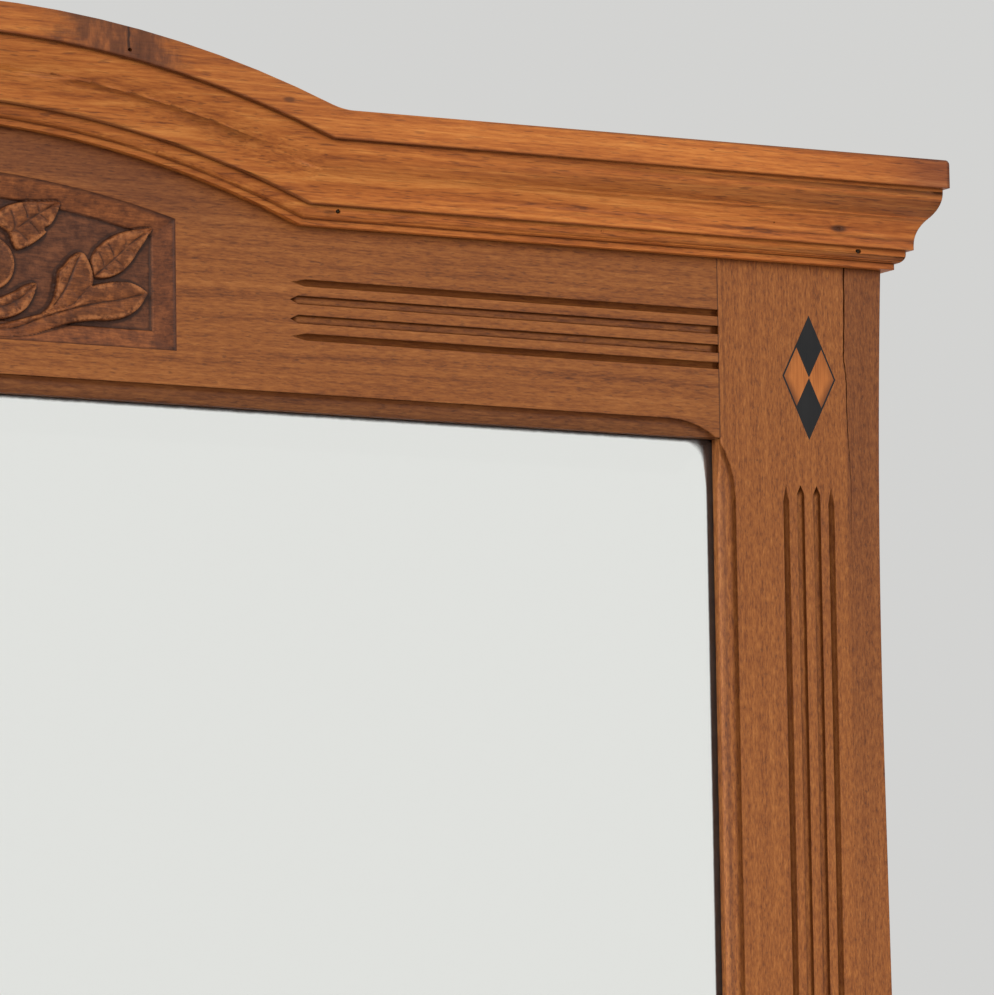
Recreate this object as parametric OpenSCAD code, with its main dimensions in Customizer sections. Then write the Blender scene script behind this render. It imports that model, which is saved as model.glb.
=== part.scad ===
// Bevelled wall mirror in a carved hardwood frame with an arched cornice.
// Front of the mirror faces -Y, the wall is at +Y, +Z is up, all sizes in millimetres.
// The origin is under the middle of the frame, halfway between cornice front and hanger back.

/* [Frame] */
// Clear width of the mirror between the stiles
sight_w = 979; // [880:1:1200]
// Clear height of the mirror between the rails
sight_h = 980; // [760:1:1200]
// Thickness of the frame members, front to back
frame_t = 24; // [23:0.5:30]
// Height of the top rail below the cornice
top_rail_h = 101.5; // [90:0.5:130]
// Height of the bottom rail
bottom_rail_h = 120; // [100:1:160]
// Width of each stile at the cornice
stile_w = 108; // [96:1:130]
// How much narrower each stile is at its waist than at the cornice
waist_in = 4.7; // [0:0.1:10]
// Height of the waist below the underside of the cornice
waist_drop = 212; // [150:1:300]
// How much wider each stile is at its foot than at the waist
foot_out = 12; // [0:0.5:25]

/* [Cornice] */
// Height of the cornice moulding
cornice_h = 60.5; // [52:0.5:80]
// Projection of the cornice in front of the frame
cornice_out = 30; // [27:0.5:40]
// Rise of the arched centre above the shoulders
arch_rise = 44; // [20:1:70]
// Radius of the top edge of the arch
arch_r = 647; // [480:1:900]
// How much wider the moulding is round the arch than on the shoulders
arch_extra = 0.7; // [0:0.1:3]
// Radius of the worn hollow where the arch meets a shoulder
kink_r = 40; // [10:1:60]
// Height of the plain fascia at the top of the cornice
fascia_h = 15.8; // [10:0.1:20]
// Depth of the step under the fascia
fascia_step = 3.7; // [2:0.1:5]
// Projection of the fillet under the ogee
fillet_out = 13.9; // [12:0.1:16]
// Height of the fillet under the ogee
fillet_h = 3; // [2:0.1:7]
// Radius of the bead at the bottom of the cornice
bead_r = 4.9; // [3:0.1:6]
// Height of the small step on top of the bead
bead_top_h = 2.4; // [1:0.1:4]
// Height of the plain strip below the bead
bead_drop = 3.3; // [1:0.1:5]

/* [Sight moulding] */
// Width of the moulding along the mirror
mould_w = 9.4; // [6:0.1:12]
// Depth of the little step at its outer edge
mould_quirk = 1.2; // [0.6:0.1:2]
// Radius of its rounded face
mould_r = 13.3; // [12.5:0.1:20]
// Distance from the corner at which the straight moulding stops
mould_stop = 33; // [32:1:60]
// Radius of the curved end of the moulding
tongue_r = 54; // [35:1:60]

/* [Reeding] */
// Radius of the two outer grooves
groove_outer_r = 2.0; // [1.5:0.1:2.4]
// Width of the two inner grooves
groove_inner_w = 4.8; // [4:0.1:7]
// Depth of the two inner grooves
groove_inner_d = 1.8; // [1:0.1:2.4]
// Distance of the outer grooves from the middle of the band
groove_outer_at = 14.9; // [12:0.1:18]
// Distance of the inner grooves from the middle of the band
groove_inner_at = 5.3; // [5:0.1:7]
// Length of the pointed end of an outer groove
groove_tip = 10; // [6:1:20]
// Length of the pointed end of an inner groove
groove_point = 5; // [3:1:12]
// How far the grooves of a stile stand outward of its middle
reed_shift = 0.9; // [0:0.1:3]
// Length of each band of grooves on a rail
rail_groove_len = 273; // [180:1:300]
// Distance from the top rail to the grooves of a stile
stile_groove_top = 24; // [10:1:60]
// Distance from the bottom rail to the grooves of a stile
stile_groove_foot = 24; // [10:1:60]

/* [Carved panel] */
// Width of the sunk panel
panel_w = 293; // [250:1:340]
// Height of the panel's lower edge above the mirror
panel_up = 28; // [16:1:40]
// Distance from the cornice to the panel's arched edge
panel_gap = 25; // [16:0.5:32]
// Depth of the sunk ground
panel_d = 6; // [4:0.5:7]
// Width of the sloping border
panel_border = 12; // [6:1:18]
// Height of the leaves above the ground
leaf_t = 3.6; // [2:0.1:5]
// Radius of each fruit
fruit_r = 14.8; // [10:0.1:17]
// Distance between the middles of two fruits
fruit_pitch = 36; // [35:0.5:40]
// Height of the fruits above the panel's lower edge
fruit_up = 41.5; // [36:0.5:46]

/* [Inlay] */
// Width of the chequered diamond
inlay_w = 32.8; // [24:0.2:44]
// Height of the chequered diamond
inlay_h = 66.4; // [50:0.2:80]
// Width of the dark line round the diamond
inlay_line = 1; // [0.4:0.1:1.5]
// Thickness of the inlaid pieces
inlay_t = 3; // [2:0.1:5]
// Height of the diamond's middle above the mirror's top edge
inlay_up = 37.3; // [30:0.1:50]
// How far the diamond stands outward of the middle of the grooves
inlay_shift = 1.7; // [0:0.1:4]
// How far the top of the diamond leans outwards, in degrees
inlay_lean = 1; // [0:0.1:3]

/* [Mirror] */
// Thickness of the wood in front of the glass
lip_t = 9.5; // [8:0.1:12]
// Thickness of the mirror glass
glass_t = 5; // [4:0.1:6]
// How far the glass reaches behind the wood
glass_overlap = 6.5; // [4:0.1:9]
// Width of the bevel on the glass
bevel_w = 27; // [15:1:40]
// How much thinner the glass is at its edge
bevel_d = 2.5; // [1:0.1:3]
// Clearance between the bevel and the wood in front of it
glass_clear = 0.1; // [0.05:0.05:0.5]
// Width of the recess for the glass
glass_rebate = 12; // [11:0.5:16]
// Length of the blocks that hold the glass
block_len = 40; // [20:1:60]
// How far the blocks reach over the back of the glass
block_hold = 8; // [4:1:16]
// Distance between the blocks along an edge
block_pitch = 330; // [250:5:400]
// Width of the recess for the backboards
board_rebate = 22; // [20:0.5:28]
// Thickness of the backboards
board_t = 8; // [6:0.5:9]
// Number of backboards
board_n = 5; // [3:1:7]
// Gap between two backboards
board_gap = 0.4; // [0.2:0.1:2]

/* [Joinery] */
// Length of the tenons
tenon_len = 70; // [40:1:85]
// Thickness of the tenons
tenon_t = 8; // [6:0.5:10]
// Depth of the tenons behind the front face
tenon_back = 8; // [7.5:0.5:10]
// Shoulder above and below each tenon
tenon_shoulder = 18; // [12:1:26]
// Radius of the cornice nails
brad_r = 0.9; // [0.6:0.1:1.4]
// Depth of the cornice nails in the frame
brad_bite = 14; // [8:1:18]
// Depth of a nail's head below the surface of the cornice
brad_sunk = 0.6; // [0.2:0.1:1.5]
// Distance of the first cornice nail from the arch
brad_first = 7; // [1:1:30]
// Distance of the last cornice nail from the end of the frame
brad_last = 21; // [15:1:60]
// Radius of the backboard nails
nail_r = 0.8; // [0.5:0.1:1.2]
// Radius of their heads
nail_head_r = 2.2; // [1.5:0.1:3]
// Thickness of their heads
nail_head_t = 0.8; // [0.4:0.1:1.2]
// Depth of the backboard nails in the frame
nail_bite = 6; // [4:0.5:10]

/* [Hangers] */
// Height of the hangers' hinges below the top rail
hanger_down = 90; // [60:1:300]
// Width of the hanger straps
strap_w = 16; // [14:0.5:22]
// Length of the hanger straps
strap_len = 58; // [50:1:80]
// Thickness of the hanger straps
strap_t = 1.2; // [1:0.1:1.4]
// Distance from the wood to the back of a hanger's hinge
hinge_out = 6; // [6:0.1:9]
// Radius of the ring wire
ring_wire_r = 1.4; // [1:0.1:1.5]
// Clearance of the ring wire in its hinge
ring_clear = 0.5; // [0.3:0.1:0.6]
// Gap between the ring and the ends of its hinge
ring_side_gap = 0.7; // [0.4:0.1:1.5]
// Length of the straight sides of the ring
ring_leg = 4; // [2:0.5:10]
// Radius of the screws
screw_r = 1.7; // [1.2:0.1:2.2]
// Radius of the screw heads
screw_head_r = 3.4; // [2.6:0.1:4]
// Thickness of the screw heads
screw_head_t = 1.6; // [1:0.1:2.4]
// Length of a screw in the wood
screw_bite = 14; // [8:0.5:16]
// Distance between the two screws of a strap
screw_pitch = 18; // [12:1:24]

/* [Hidden] */
$fn = 96;
// A small overrun so that cuts pass clean through a surface
over = 1;
// Heights of the main lines
sight_bottom = bottom_rail_h;
sight_top = bottom_rail_h + sight_h;
cornice_z = sight_top + top_rail_h;
shoulder_z = cornice_z + cornice_h;
arch_cz = shoulder_z + arch_rise - arch_r;
sight_x = sight_w / 2;
side_x = sight_x + stile_w;
waist_z = cornice_z - waist_drop;
waist_curve = waist_in / pow(waist_drop, 2);
// Slope of the straight foot, and where the waist curve meets it
foot_slope = foot_out / waist_z;
foot_z = waist_z - foot_slope / (2 * waist_curve);
stile_mid = sight_x + mould_w + (stile_w - waist_in - mould_w) / 2 + reed_shift;
inlay_x = stile_mid + inlay_shift;
reed_z = sight_top + mould_w + (top_rail_h - mould_w) / 2;
low_reed_z = (bottom_rail_h - mould_w) / 2;
// Lower radius of the arched moulding, and where its top line meets the shoulders
arch_low_r = arch_r - cornice_h - arch_extra;
kink_top = sqrt(pow(arch_r, 2) - pow(shoulder_z - arch_cz, 2));
// Centre of the hollow there, and the angle through which it turns
kink_cz = shoulder_z + kink_r;
kink_cx = sqrt(pow(arch_r + kink_r, 2) - pow(kink_cz - arch_cz, 2));
kink_turn = asin(kink_cx / (arch_r + kink_r));
brad_pitch = (side_x - brad_last - kink_top - brad_first) / 2;
// Heights and radius in the cornice profile
bead_in = fillet_out - bead_top_h - bead_r - 0.9;
bead_z = bead_drop + bead_r;
fillet_z = bead_z + bead_top_h;
ogee_z = fillet_z + fillet_h;
ogee_out = cornice_out - fascia_step;
fascia_z = cornice_h - fascia_h;
ogee_top = fascia_z - 2;
ogee_dp = ogee_out - fillet_out;
ogee_dh = ogee_top - ogee_z;
ogee_r = (pow(ogee_dp, 2) + pow(ogee_dh, 2)) / (4 * ogee_dp);
// A hair of a ledge where the hollow and the round of the ogee meet
ogee_ledge = 0.05;
glass_x = sight_x + glass_overlap;
glass_y = lip_t + glass_clear - bevel_d * (1 - glass_overlap / bevel_w);
rebate_x = sight_x + glass_rebate;
board_x = sight_x + board_rebate;
board_y = frame_t - board_t;
board_w = (2 * board_x - 0.6 - (board_n - 1) * board_gap) / board_n;
panel_z = sight_top + panel_up;
panel_r = arch_low_r - panel_gap;
inlay_z = sight_top + inlay_up;
inlay_grow = 1 + inlay_line * sqrt(pow(inlay_w / 2, 2) + pow(inlay_h / 2, 2))
    / (inlay_w / 2 * inlay_h / 2);
hinge_z = sight_top - hanger_down;
barrel_r = hinge_out / 2;
hinge_y = frame_t + hinge_out - barrel_r;
ring_half = strap_w / 2 + ring_side_gap + ring_wire_r;
ring_reach = ring_leg + ring_half + ring_wire_r;
screw_z = hinge_z - ring_reach - screw_head_r - 2.5;

wood = [0.60, 0.37, 0.20];
wood_orange = [0.69, 0.40, 0.20];
wood_light = [0.83, 0.55, 0.32];
ebony = [0.09, 0.09, 0.10];
pine = [0.66, 0.55, 0.40];
brass = [0.72, 0.58, 0.32];
steel = [0.45, 0.45, 0.46];
silver = [0.89, 0.89, 0.87];

// A flat shape drawn in X and Z, thickened backwards from y0
module slab(y0, t) {
    translate([0, y0, 0])
        rotate([90, 0, 0])
            translate([0, 0, -t])
                linear_extrude(height = t)
                    children();
}

// Outer edge of a stile: straight at the cornice, waisted, then spreading to the foot
function edge_x(z) =
    z > cornice_z ? side_x
    : z > foot_z ? side_x - waist_in + waist_curve * pow(z - waist_z, 2)
    : side_x - waist_in + waist_curve * pow(foot_z - waist_z, 2) + foot_slope * (foot_z - z);

// Section of the cornice: first number is height, second is projection.
// extra carries the fascia on upwards.
module cornice_section(extra) {
    difference() {
        union() {
            square([fillet_z + over, bead_in]);
            translate([bead_z, bead_in])
                circle(r = bead_r);
            translate([bead_z, 0])
                square([bead_top_h, bead_in + bead_r]);
            translate([fillet_z, 0])
                square([fillet_h, fillet_out]);
            translate([ogee_z, 0])
                square([ogee_dh / 2, fillet_out + ogee_dp / 2 + over]);
            intersection() {
                translate([ogee_top, ogee_out - ogee_r])
                    circle(r = ogee_r);
                translate([ogee_z + ogee_dh / 2, 0])
                    square([ogee_dh / 2, ogee_out]);
            }
            translate([ogee_top - ogee_dh / 2, 0])
                square([ogee_dh / 2, fillet_out]);
            translate([ogee_top, 0])
                square([fascia_z - ogee_top, ogee_out]);
            translate([fascia_z, 0])
                square([fascia_h + extra, cornice_out]);
        }
        translate([ogee_z, fillet_out + ogee_r + ogee_ledge])
            circle(r = ogee_r);
        translate([-bead_r, -bead_r * 2])
            square([bead_r * 2 + cornice_h * 2, bead_r * 2]);
    }
}

// Everything above the moulded underside of the straight shoulders
module above_shoulders() {
    translate([-side_x - cornice_out, 0, cornice_z])
        rotate([0, -90, 180])
            linear_extrude(height = 2 * (side_x + cornice_out))
                cornice_section(arch_rise + over);
}

// Everything outside the moulded underside of the arch
module outside_arch() {
    reach = norm([side_x + cornice_out, shoulder_z - arch_cz]) + over * 9;
    translate([0, 0, arch_cz])
        rotate([90, 0, 0])
            rotate([0, 0, -90])
                rotate_extrude($fn = 360)
                    translate([arch_low_r, 0])
                        cornice_section(reach - arch_low_r - cornice_h);
}

// Everything below the top line of the cornice, straight or arched
module below_top(y0, t) {
    translate([-side_x - cornice_out - over, y0, cornice_z - over])
        cube([2 * (side_x + cornice_out + over), t, cornice_h + over]);
    translate([0, y0, arch_cz])
        rotate([-90, 0, 0])
            cylinder(r = arch_r, h = t, $fn = 360);
    kink_fill(y0, t);
}

// Soft hollow where the top line turns from the arch to a shoulder
module kink_fill(y0, t) {
    steps = 8;
    end = kink_turn + 0.4;
    for (s = [0, 1])
        mirror([s, 0, 0])
            slab(y0, t)
                polygon(concat(
                    [[kink_cx + 2, shoulder_z - 0.03]],
                    [for (i = [0.5:steps]) let (a = kink_turn * i / steps)
                        [kink_cx - kink_r * sin(a), kink_cz - kink_r * cos(a)]],
                    [[(arch_r - 0.03) * sin(end), arch_cz + (arch_r - 0.03) * cos(end)],
                        [kink_top - kink_r / 2, shoulder_z - kink_r / 4],
                        [kink_cx, shoulder_z - kink_r / 4]]));
}

// Wedge that trims the end of the cornice to a mitre on the right
module mitre_wedge() {
    far = cornice_out + over * 4;
    translate([0, 0, cornice_z - over])
        linear_extrude(height = cornice_h + arch_rise + 2 * over)
            polygon([[side_x - over * 4, over * 4], [side_x + far, -far],
                [side_x + far + over * 9, -far], [side_x + far + over * 9, over * 4]]);
}

// Side of the right return that lies in front of the mitre
module return_wedge() {
    far = cornice_out + over * 4;
    translate([0, 0, cornice_z - over])
        linear_extrude(height = cornice_h + 2 * over)
            polygon([[side_x - over * 4, over * 4], [side_x + far, -far],
                [side_x - over * 4, -far]]);
}

// Straight and arched cornice, cut from one board
module cornice_front() {
    color(wood_orange)
        difference() {
            intersection() {
                above_shoulders();
                outside_arch();
                below_top(-cornice_out - over, cornice_out + 2 * over);
            }
            mitre_wedge();
            mirror([1, 0, 0])
                mitre_wedge();
            brads(brad_r, brad_sunk + over, 0);
        }
}

module cornice_return() {
    color(wood_orange)
        difference() {
            translate([side_x, -cornice_out, cornice_z])
                rotate([-90, 0, 0])
                    rotate([0, 0, -90])
                        linear_extrude(height = cornice_out + frame_t)
                            cornice_section(0);
            return_wedge();
        }
}

// Nails through the bead of the cornice; proud lengthens them in front, bite behind
module brads(r, proud, bite) {
    head = bead_in + bead_r - brad_sunk;
    z0 = cornice_z + bead_z;
    for (s = [-1, 1])
        for (i = [0:2])
            translate([s * (kink_top + brad_first + i * brad_pitch), -head - proud, z0])
                rotate([-90, 0, 0])
                    cylinder(r = r, h = head + proud + bite, $fn = 24);
    for (a = [-1, 0, 1])
        translate([(arch_low_r + z0 - cornice_z) * sin(a * 13), -head - proud,
            arch_cz + (arch_low_r + z0 - cornice_z) * cos(a * 13)])
            rotate([-90, 0, 0])
                cylinder(r = r, h = head + proud + bite, $fn = 24);
}

module cornice_nails() {
    color(steel)
        brads(brad_r, 0, brad_bite);
}

// Recess behind the wood: a step for the glass and a wider one for the backboards
module rebates() {
    translate([-rebate_x, lip_t, sight_bottom - glass_rebate])
        cube([2 * rebate_x, frame_t, sight_h + 2 * glass_rebate]);
    translate([-board_x, board_y, sight_bottom - board_rebate])
        cube([2 * board_x, frame_t, sight_h + 2 * board_rebate]);
}

// Section of the cut that leaves the rounded moulding, seen from the mirror's edge outwards
module mould_section() {
    difference() {
        translate([-2, -lip_t + over / 2])
            square([mould_w + 2, lip_t + over]);
        translate([mould_w, -mould_quirk - mould_r])
            circle(r = mould_r, $fn = 120);
    }
}

// Cut along an edge that lies on X at z = 0, with curved ends that fade into the edge
module sight_cut(len) {
    straight = len - 2 * mould_stop;
    fade = acos(1 - mould_w / tongue_r) + 2;
    translate([-straight / 2, 0, 0])
        rotate([0, -90, 180])
            linear_extrude(height = straight)
                mould_section();
    for (s = [0, 1])
        mirror([s, 0, 0])
            translate([-straight / 2, 0, mould_w - tongue_r])
                rotate([90, 0, 0])
                    rotate([0, 0, 90])
                        rotate_extrude(angle = fade, $fn = 180)
                            translate([tongue_r - mould_w, 0])
                                mould_section();
}

// Round groove that starts at the origin and runs along +X, pointed at its far end or at both
module round_groove(len, both) {
    r = groove_outer_r;
    translate([both ? groove_tip : -over, 0, 0])
        rotate([0, 90, 0])
            cylinder(r = r, h = len - groove_tip + (both ? -groove_tip : over));
    translate([len - groove_tip, 0, 0])
        rotate([0, 90, 0])
            cylinder(r1 = r, r2 = 0, h = groove_tip);
    if (both)
        translate([groove_tip, 0, 0])
            rotate([0, -90, 0])
                cylinder(r1 = r, r2 = 0, h = groove_tip);
}

// Flat groove of the same length, its pointed ends as deep as the rest
module flat_groove(len, both) {
    w = groove_inner_w / 2;
    start = both ? groove_point : -over;
    slab(-over, groove_inner_d + over)
        polygon(concat([[start, -w], [len - groove_point, -w], [len, 0],
            [len - groove_point, w], [start, w]], both ? [[0, 0]] : []));
}

// Band of four grooves with three reeds between them
module reeding(len, both) {
    for (s = [-1, 1]) {
        translate([0, 0, s * groove_outer_at])
            round_groove(len, both);
        translate([0, 0, s * groove_inner_at])
            flat_groove(len, both);
    }
}

module rail_reeding(z) {
    translate([sight_x, 0, z])
        mirror([1, 0, 0])
            reeding(rail_groove_len, false);
    translate([-sight_x, 0, z])
        reeding(rail_groove_len, false);
}

// Tenons at both ends of a rail; the stiles are mortised to the same size
module tenons(z0, z1) {
    translate([-sight_x - tenon_len, tenon_back, z0 + tenon_shoulder])
        cube([2 * (sight_x + tenon_len), tenon_t, z1 - z0 - 2 * tenon_shoulder]);
}

// Sunk ground with a sloping border, arched above
module panel_recess() {
    low = -over * panel_border / panel_d;
    half = panel_w / 2;
    intersection() {
        translate([0, -over, arch_cz])
            rotate([-90, 0, 0])
                cylinder(r1 = panel_r - low, r2 = panel_r - panel_border,
                    h = panel_d + over, $fn = 360);
        translate([0, 0, panel_z - over * 9])
            linear_extrude(height = cornice_h + top_rail_h)
                polygon([[-half + low, -over], [half - low, -over],
                    [half - panel_border, panel_d], [panel_border - half, panel_d]]);
        translate([-half - over * 9, 0, 0])
            rotate([90, 0, 90])
                linear_extrude(height = panel_w + over * 18)
                    polygon([[-over, panel_z + low], [panel_d, panel_z + panel_border],
                        [panel_d, cornice_z + cornice_h], [-over, cornice_z + cornice_h]]);
    }
}

// Leaf outline: two arcs that meet in points, base at the origin, tip along +X
module leaf(len, wid) {
    r = (len * len + wid * wid) / (4 * wid);
    intersection() {
        translate([len / 2, wid / 2 - r])
            circle(r = r, $fn = 120);
        translate([len / 2, r - wid / 2])
            circle(r = r, $fn = 120);
    }
}

// Carved spray of leaves on one side, placed from the middle of the outer fruit
module leaf_spray() {
    translate([fruit_pitch, 0, panel_z + fruit_up])
        slab(panel_d - leaf_t, leaf_t + over / 2) {
            translate([6, 7.5])
                rotate(42)
                    leaf(43, 19);
            translate([60, -6.5])
                rotate(39)
                    leaf(48, 17);
            translate([22, -29.5])
                rotate(51)
                    leaf(54, 19);
            translate([4, -36.5])
                rotate(18)
                    leaf(93, 20);
            translate([1.3, -27.9])
                rotate(41)
                    leaf(32, 15);
            translate([-41, -35])
                rotate(-2)
                    leaf(64, 7);
        }
}

// Fruit: a shallow dome that rises from the ground of the panel
module fruit(x, z) {
    dome = (pow(fruit_r, 2) + pow(panel_d, 2)) / (2 * panel_d);
    intersection() {
        translate([x, dome + 0.4, z])
            sphere(r = dome);
        translate([x, -over, z])
            rotate([-90, 0, 0])
                cylinder(r = fruit_r, h = panel_d + over * 2);
    }
}

module carving() {
    leaf_spray();
    mirror([1, 0, 0])
        leaf_spray();
    for (i = [-1:1])
        fruit(i * fruit_pitch, panel_z + fruit_up);
}

module top_rail() {
    color(wood)
        difference() {
            union() {
                difference() {
                    union() {
                        slab(0, frame_t)
                            union() {
                                translate([-sight_x, sight_top])
                                    square([sight_w, shoulder_z - sight_top]);
                                intersection() {
                                    translate([0, arch_cz])
                                        circle(r = arch_r, $fn = 360);
                                    translate([-sight_x, shoulder_z - over])
                                        square([sight_w, arch_rise + 2 * over]);
                                }
                            }
                        kink_fill(0, frame_t);
                        tenons(sight_top, shoulder_z);
                    }
                    panel_recess();
                }
                carving();
            }
            rebates();
            translate([0, 0, sight_top])
                sight_cut(sight_w);
            rail_reeding(reed_z);
            brads(brad_r, 0, brad_bite);
            board_nails(nail_r, 0);
        }
}

module bottom_rail() {
    color(wood)
        difference() {
            union() {
                slab(0, frame_t)
                    translate([-sight_x, 0])
                        square([sight_w, sight_bottom]);
                tenons(0, sight_bottom);
            }
            rebates();
            translate([0, 0, sight_bottom])
                rotate([0, 180, 0])
                    sight_cut(sight_w);
            rail_reeding(low_reed_z);
            board_nails(nail_r, 0);
        }
}

// Right stile with its waisted outer edge
module stile() {
    steps = 14;
    difference() {
        slab(0, frame_t)
            polygon(concat([[sight_x, shoulder_z], [sight_x, 0], [edge_x(0), 0]],
                [for (i = [0:steps]) let (z = foot_z + (cornice_z - foot_z) * i / steps)
                    [edge_x(z), z]],
                [[side_x, shoulder_z]]));
        rebates();
        tenons(sight_top, shoulder_z);
        tenons(0, sight_bottom);
        translate([sight_x, 0, (sight_top + sight_bottom) / 2])
            rotate([0, 90, 0])
                sight_cut(sight_h);
        translate([stile_mid, 0, sight_bottom + stile_groove_foot])
            rotate([0, -90, 0])
                reeding(sight_h - stile_groove_top - stile_groove_foot, true);
        diamond_seat();
        brads(brad_r, 0, brad_bite);
        board_nails(nail_r, 0);
        strap_screws(screw_r, 0, 0);
    }
}

module right_stile() {
    color(wood)
        stile();
}

module left_stile() {
    color(wood)
        mirror([1, 0, 0])
            stile();
}

// Outline of the whole diamond, grown by k about its middle
module diamond(k) {
    polygon([[-inlay_w / 2 * k, 0], [0, -inlay_h / 2 * k],
        [inlay_w / 2 * k, 0], [0, inlay_h / 2 * k]]);
}

// Puts what is drawn about the origin at the middle of the inlay, leaning with it
module on_inlay() {
    translate([inlay_x, 0, inlay_z])
        rotate([0, inlay_lean, 0])
            children();
}

module diamond_seat() {
    on_inlay()
        slab(-over, inlay_t + over)
            diamond(inlay_grow);
}

// One of the four small rhombi: u and v pick its side
module inlay_piece(u, v) {
    on_inlay()
        translate([u * inlay_w / 4, 0, v * inlay_h / 4])
            slab(0, inlay_t)
                diamond(0.5);
}

module inlay_ring() {
    on_inlay()
        slab(0, inlay_t)
            difference() {
                diamond(inlay_grow);
                diamond(1);
            }
}

// Whole plate that the glass is ground from
module glass_plate() {
    translate([-glass_x, glass_y, sight_bottom - glass_overlap])
        cube([2 * glass_x, glass_t, sight_h + 2 * glass_overlap]);
}

// Bevelled glass; each edge loses a thin wedge in front, and its bevel lies against the wood
module mirror_glass() {
    k = bevel_w / bevel_d;
    color(silver)
        difference() {
            glass_plate();
            for (s = [0, 1])
                mirror([s, 0, 0])
                    translate([-glass_x, glass_y, sight_bottom - glass_overlap - over])
                        linear_extrude(height = sight_h + 2 * glass_overlap + 2 * over)
                            bevel_wedge(k);
            for (s = [0, 1])
                translate([0, glass_y, (sight_bottom + sight_top) / 2])
                    mirror([0, 0, s])
                        translate([-glass_x - over, 0, -sight_h / 2 - glass_overlap])
                            rotate([90, 0, 90])
                                linear_extrude(height = 2 * glass_x + 2 * over)
                                    mirror([1, -1])
                                        bevel_wedge(k);
        }
}

module bevel_wedge(k) {
    polygon([[bevel_w + k * over, -over], [-over, bevel_d + over / k], [-over, -over]]);
}

// Notched blocks: they wedge the edge of the glass and hold it against the wood
module glass_blocks() {
    wide = glass_rebate - glass_overlap + block_hold;
    depth = board_y - lip_t;
    mid = (sight_bottom + sight_top) / 2;
    inner = glass_overlap - block_hold;
    color(pine)
        difference() {
            for (i = [-1:1]) {
                for (s = [0, 1])
                    mirror([s, 0, 0])
                        translate([sight_x + inner, lip_t, mid + i * block_pitch - block_len / 2])
                            cube([wide, depth, block_len]);
                translate([i * block_pitch - block_len / 2, lip_t, sight_top + inner])
                    cube([block_len, depth, wide]);
                translate([i * block_pitch - block_len / 2, lip_t, sight_bottom - glass_rebate])
                    cube([block_len, depth, wide]);
            }
            translate([-glass_x, 0, sight_bottom - glass_overlap])
                cube([2 * glass_x, glass_y + glass_t, sight_h + 2 * glass_overlap]);
        }
}

module backboard(i) {
    color(pine)
        difference() {
            translate([-board_x + 0.3 + i * (board_w + board_gap), board_y,
                sight_bottom - board_rebate + 0.3])
                cube([board_w, board_t, sight_h + 2 * board_rebate - 0.6]);
            board_nails(nail_r, 0);
        }
}

// Nails of the backboards: two at each end of a board, and two rows up the stiles
module board_nails(r, head) {
    inset = (glass_rebate + board_rebate) / 2;
    spots = concat(
        [for (i = [0:board_n - 1]) for (s = [-1, 1]) for (t = [0, 1])
            [-board_x + 0.3 + i * (board_w + board_gap) + board_w / 2 + s * board_w * 0.3,
                t == 1 ? sight_top + inset : sight_bottom - inset]],
        [for (s = [-1, 1]) for (t = [-1:1])
            [s * (sight_x + inset), (sight_bottom + sight_top) / 2 + t * (block_pitch * 0.9)]]);
    for (p = spots)
        translate([p[0], board_y - nail_bite, p[1]])
            rotate([-90, 0, 0]) {
                cylinder(r = r, h = nail_bite + board_t, $fn = 24);
                if (head > 0)
                    translate([0, 0, nail_bite + board_t])
                        cylinder(r = head, h = nail_head_t, $fn = 24);
            }
}

module backboard_nails() {
    color(steel)
        board_nails(nail_r, nail_head_r);
}

// Strap of the right hanger, screwed to the stile, with a tube for the ring
module strap() {
    color(brass)
        difference() {
            union() {
                translate([stile_mid - strap_w / 2, frame_t, hinge_z - strap_len])
                    cube([strap_w, strap_t, strap_len]);
                translate([stile_mid - strap_w / 2, hinge_y, hinge_z])
                    rotate([0, 90, 0])
                        cylinder(r = barrel_r, h = strap_w);
            }
            translate([stile_mid - strap_w / 2 - over, hinge_y, hinge_z])
                rotate([0, 90, 0])
                    cylinder(r = ring_wire_r + ring_clear, h = strap_w + 2 * over);
            strap_screws(screw_r, 0, over);
        }
}

// Ring of the right hanger, hanging down from its hinge
module ring() {
    color(brass)
        translate([stile_mid, hinge_y, hinge_z]) {
            translate([-ring_half, 0, 0])
                rotate([0, 90, 0])
                    cylinder(r = ring_wire_r, h = 2 * ring_half, $fn = 48);
            for (s = [-1, 1]) {
                translate([s * ring_half, 0, 0])
                    sphere(r = ring_wire_r, $fn = 48);
                translate([s * ring_half, 0, -ring_leg])
                    cylinder(r = ring_wire_r, h = ring_leg, $fn = 48);
            }
            translate([0, 0, -ring_leg])
                rotate([90, 0, 0])
                    rotate([0, 0, 180])
                        rotate_extrude(angle = 180, $fn = 96)
                            translate([ring_half, 0])
                                circle(r = ring_wire_r, $fn = 48);
        }
}

// Screws of the right strap; head is the radius of the head, or 0 for none
module strap_screws(r, head, proud) {
    for (i = [0, 1])
        translate([stile_mid, frame_t - screw_bite, screw_z - i * screw_pitch])
            rotate([-90, 0, 0]) {
                cylinder(r = r, h = screw_bite + strap_t + proud, $fn = 36);
                if (head > 0)
                    translate([0, 0, screw_bite + strap_t])
                        cylinder(r = head, h = screw_head_t, $fn = 36);
            }
}

module hanger_screws() {
    color(brass)
        for (s = [0, 1])
            mirror([s, 0, 0])
                strap_screws(screw_r, screw_head_r, 0);
}

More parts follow.
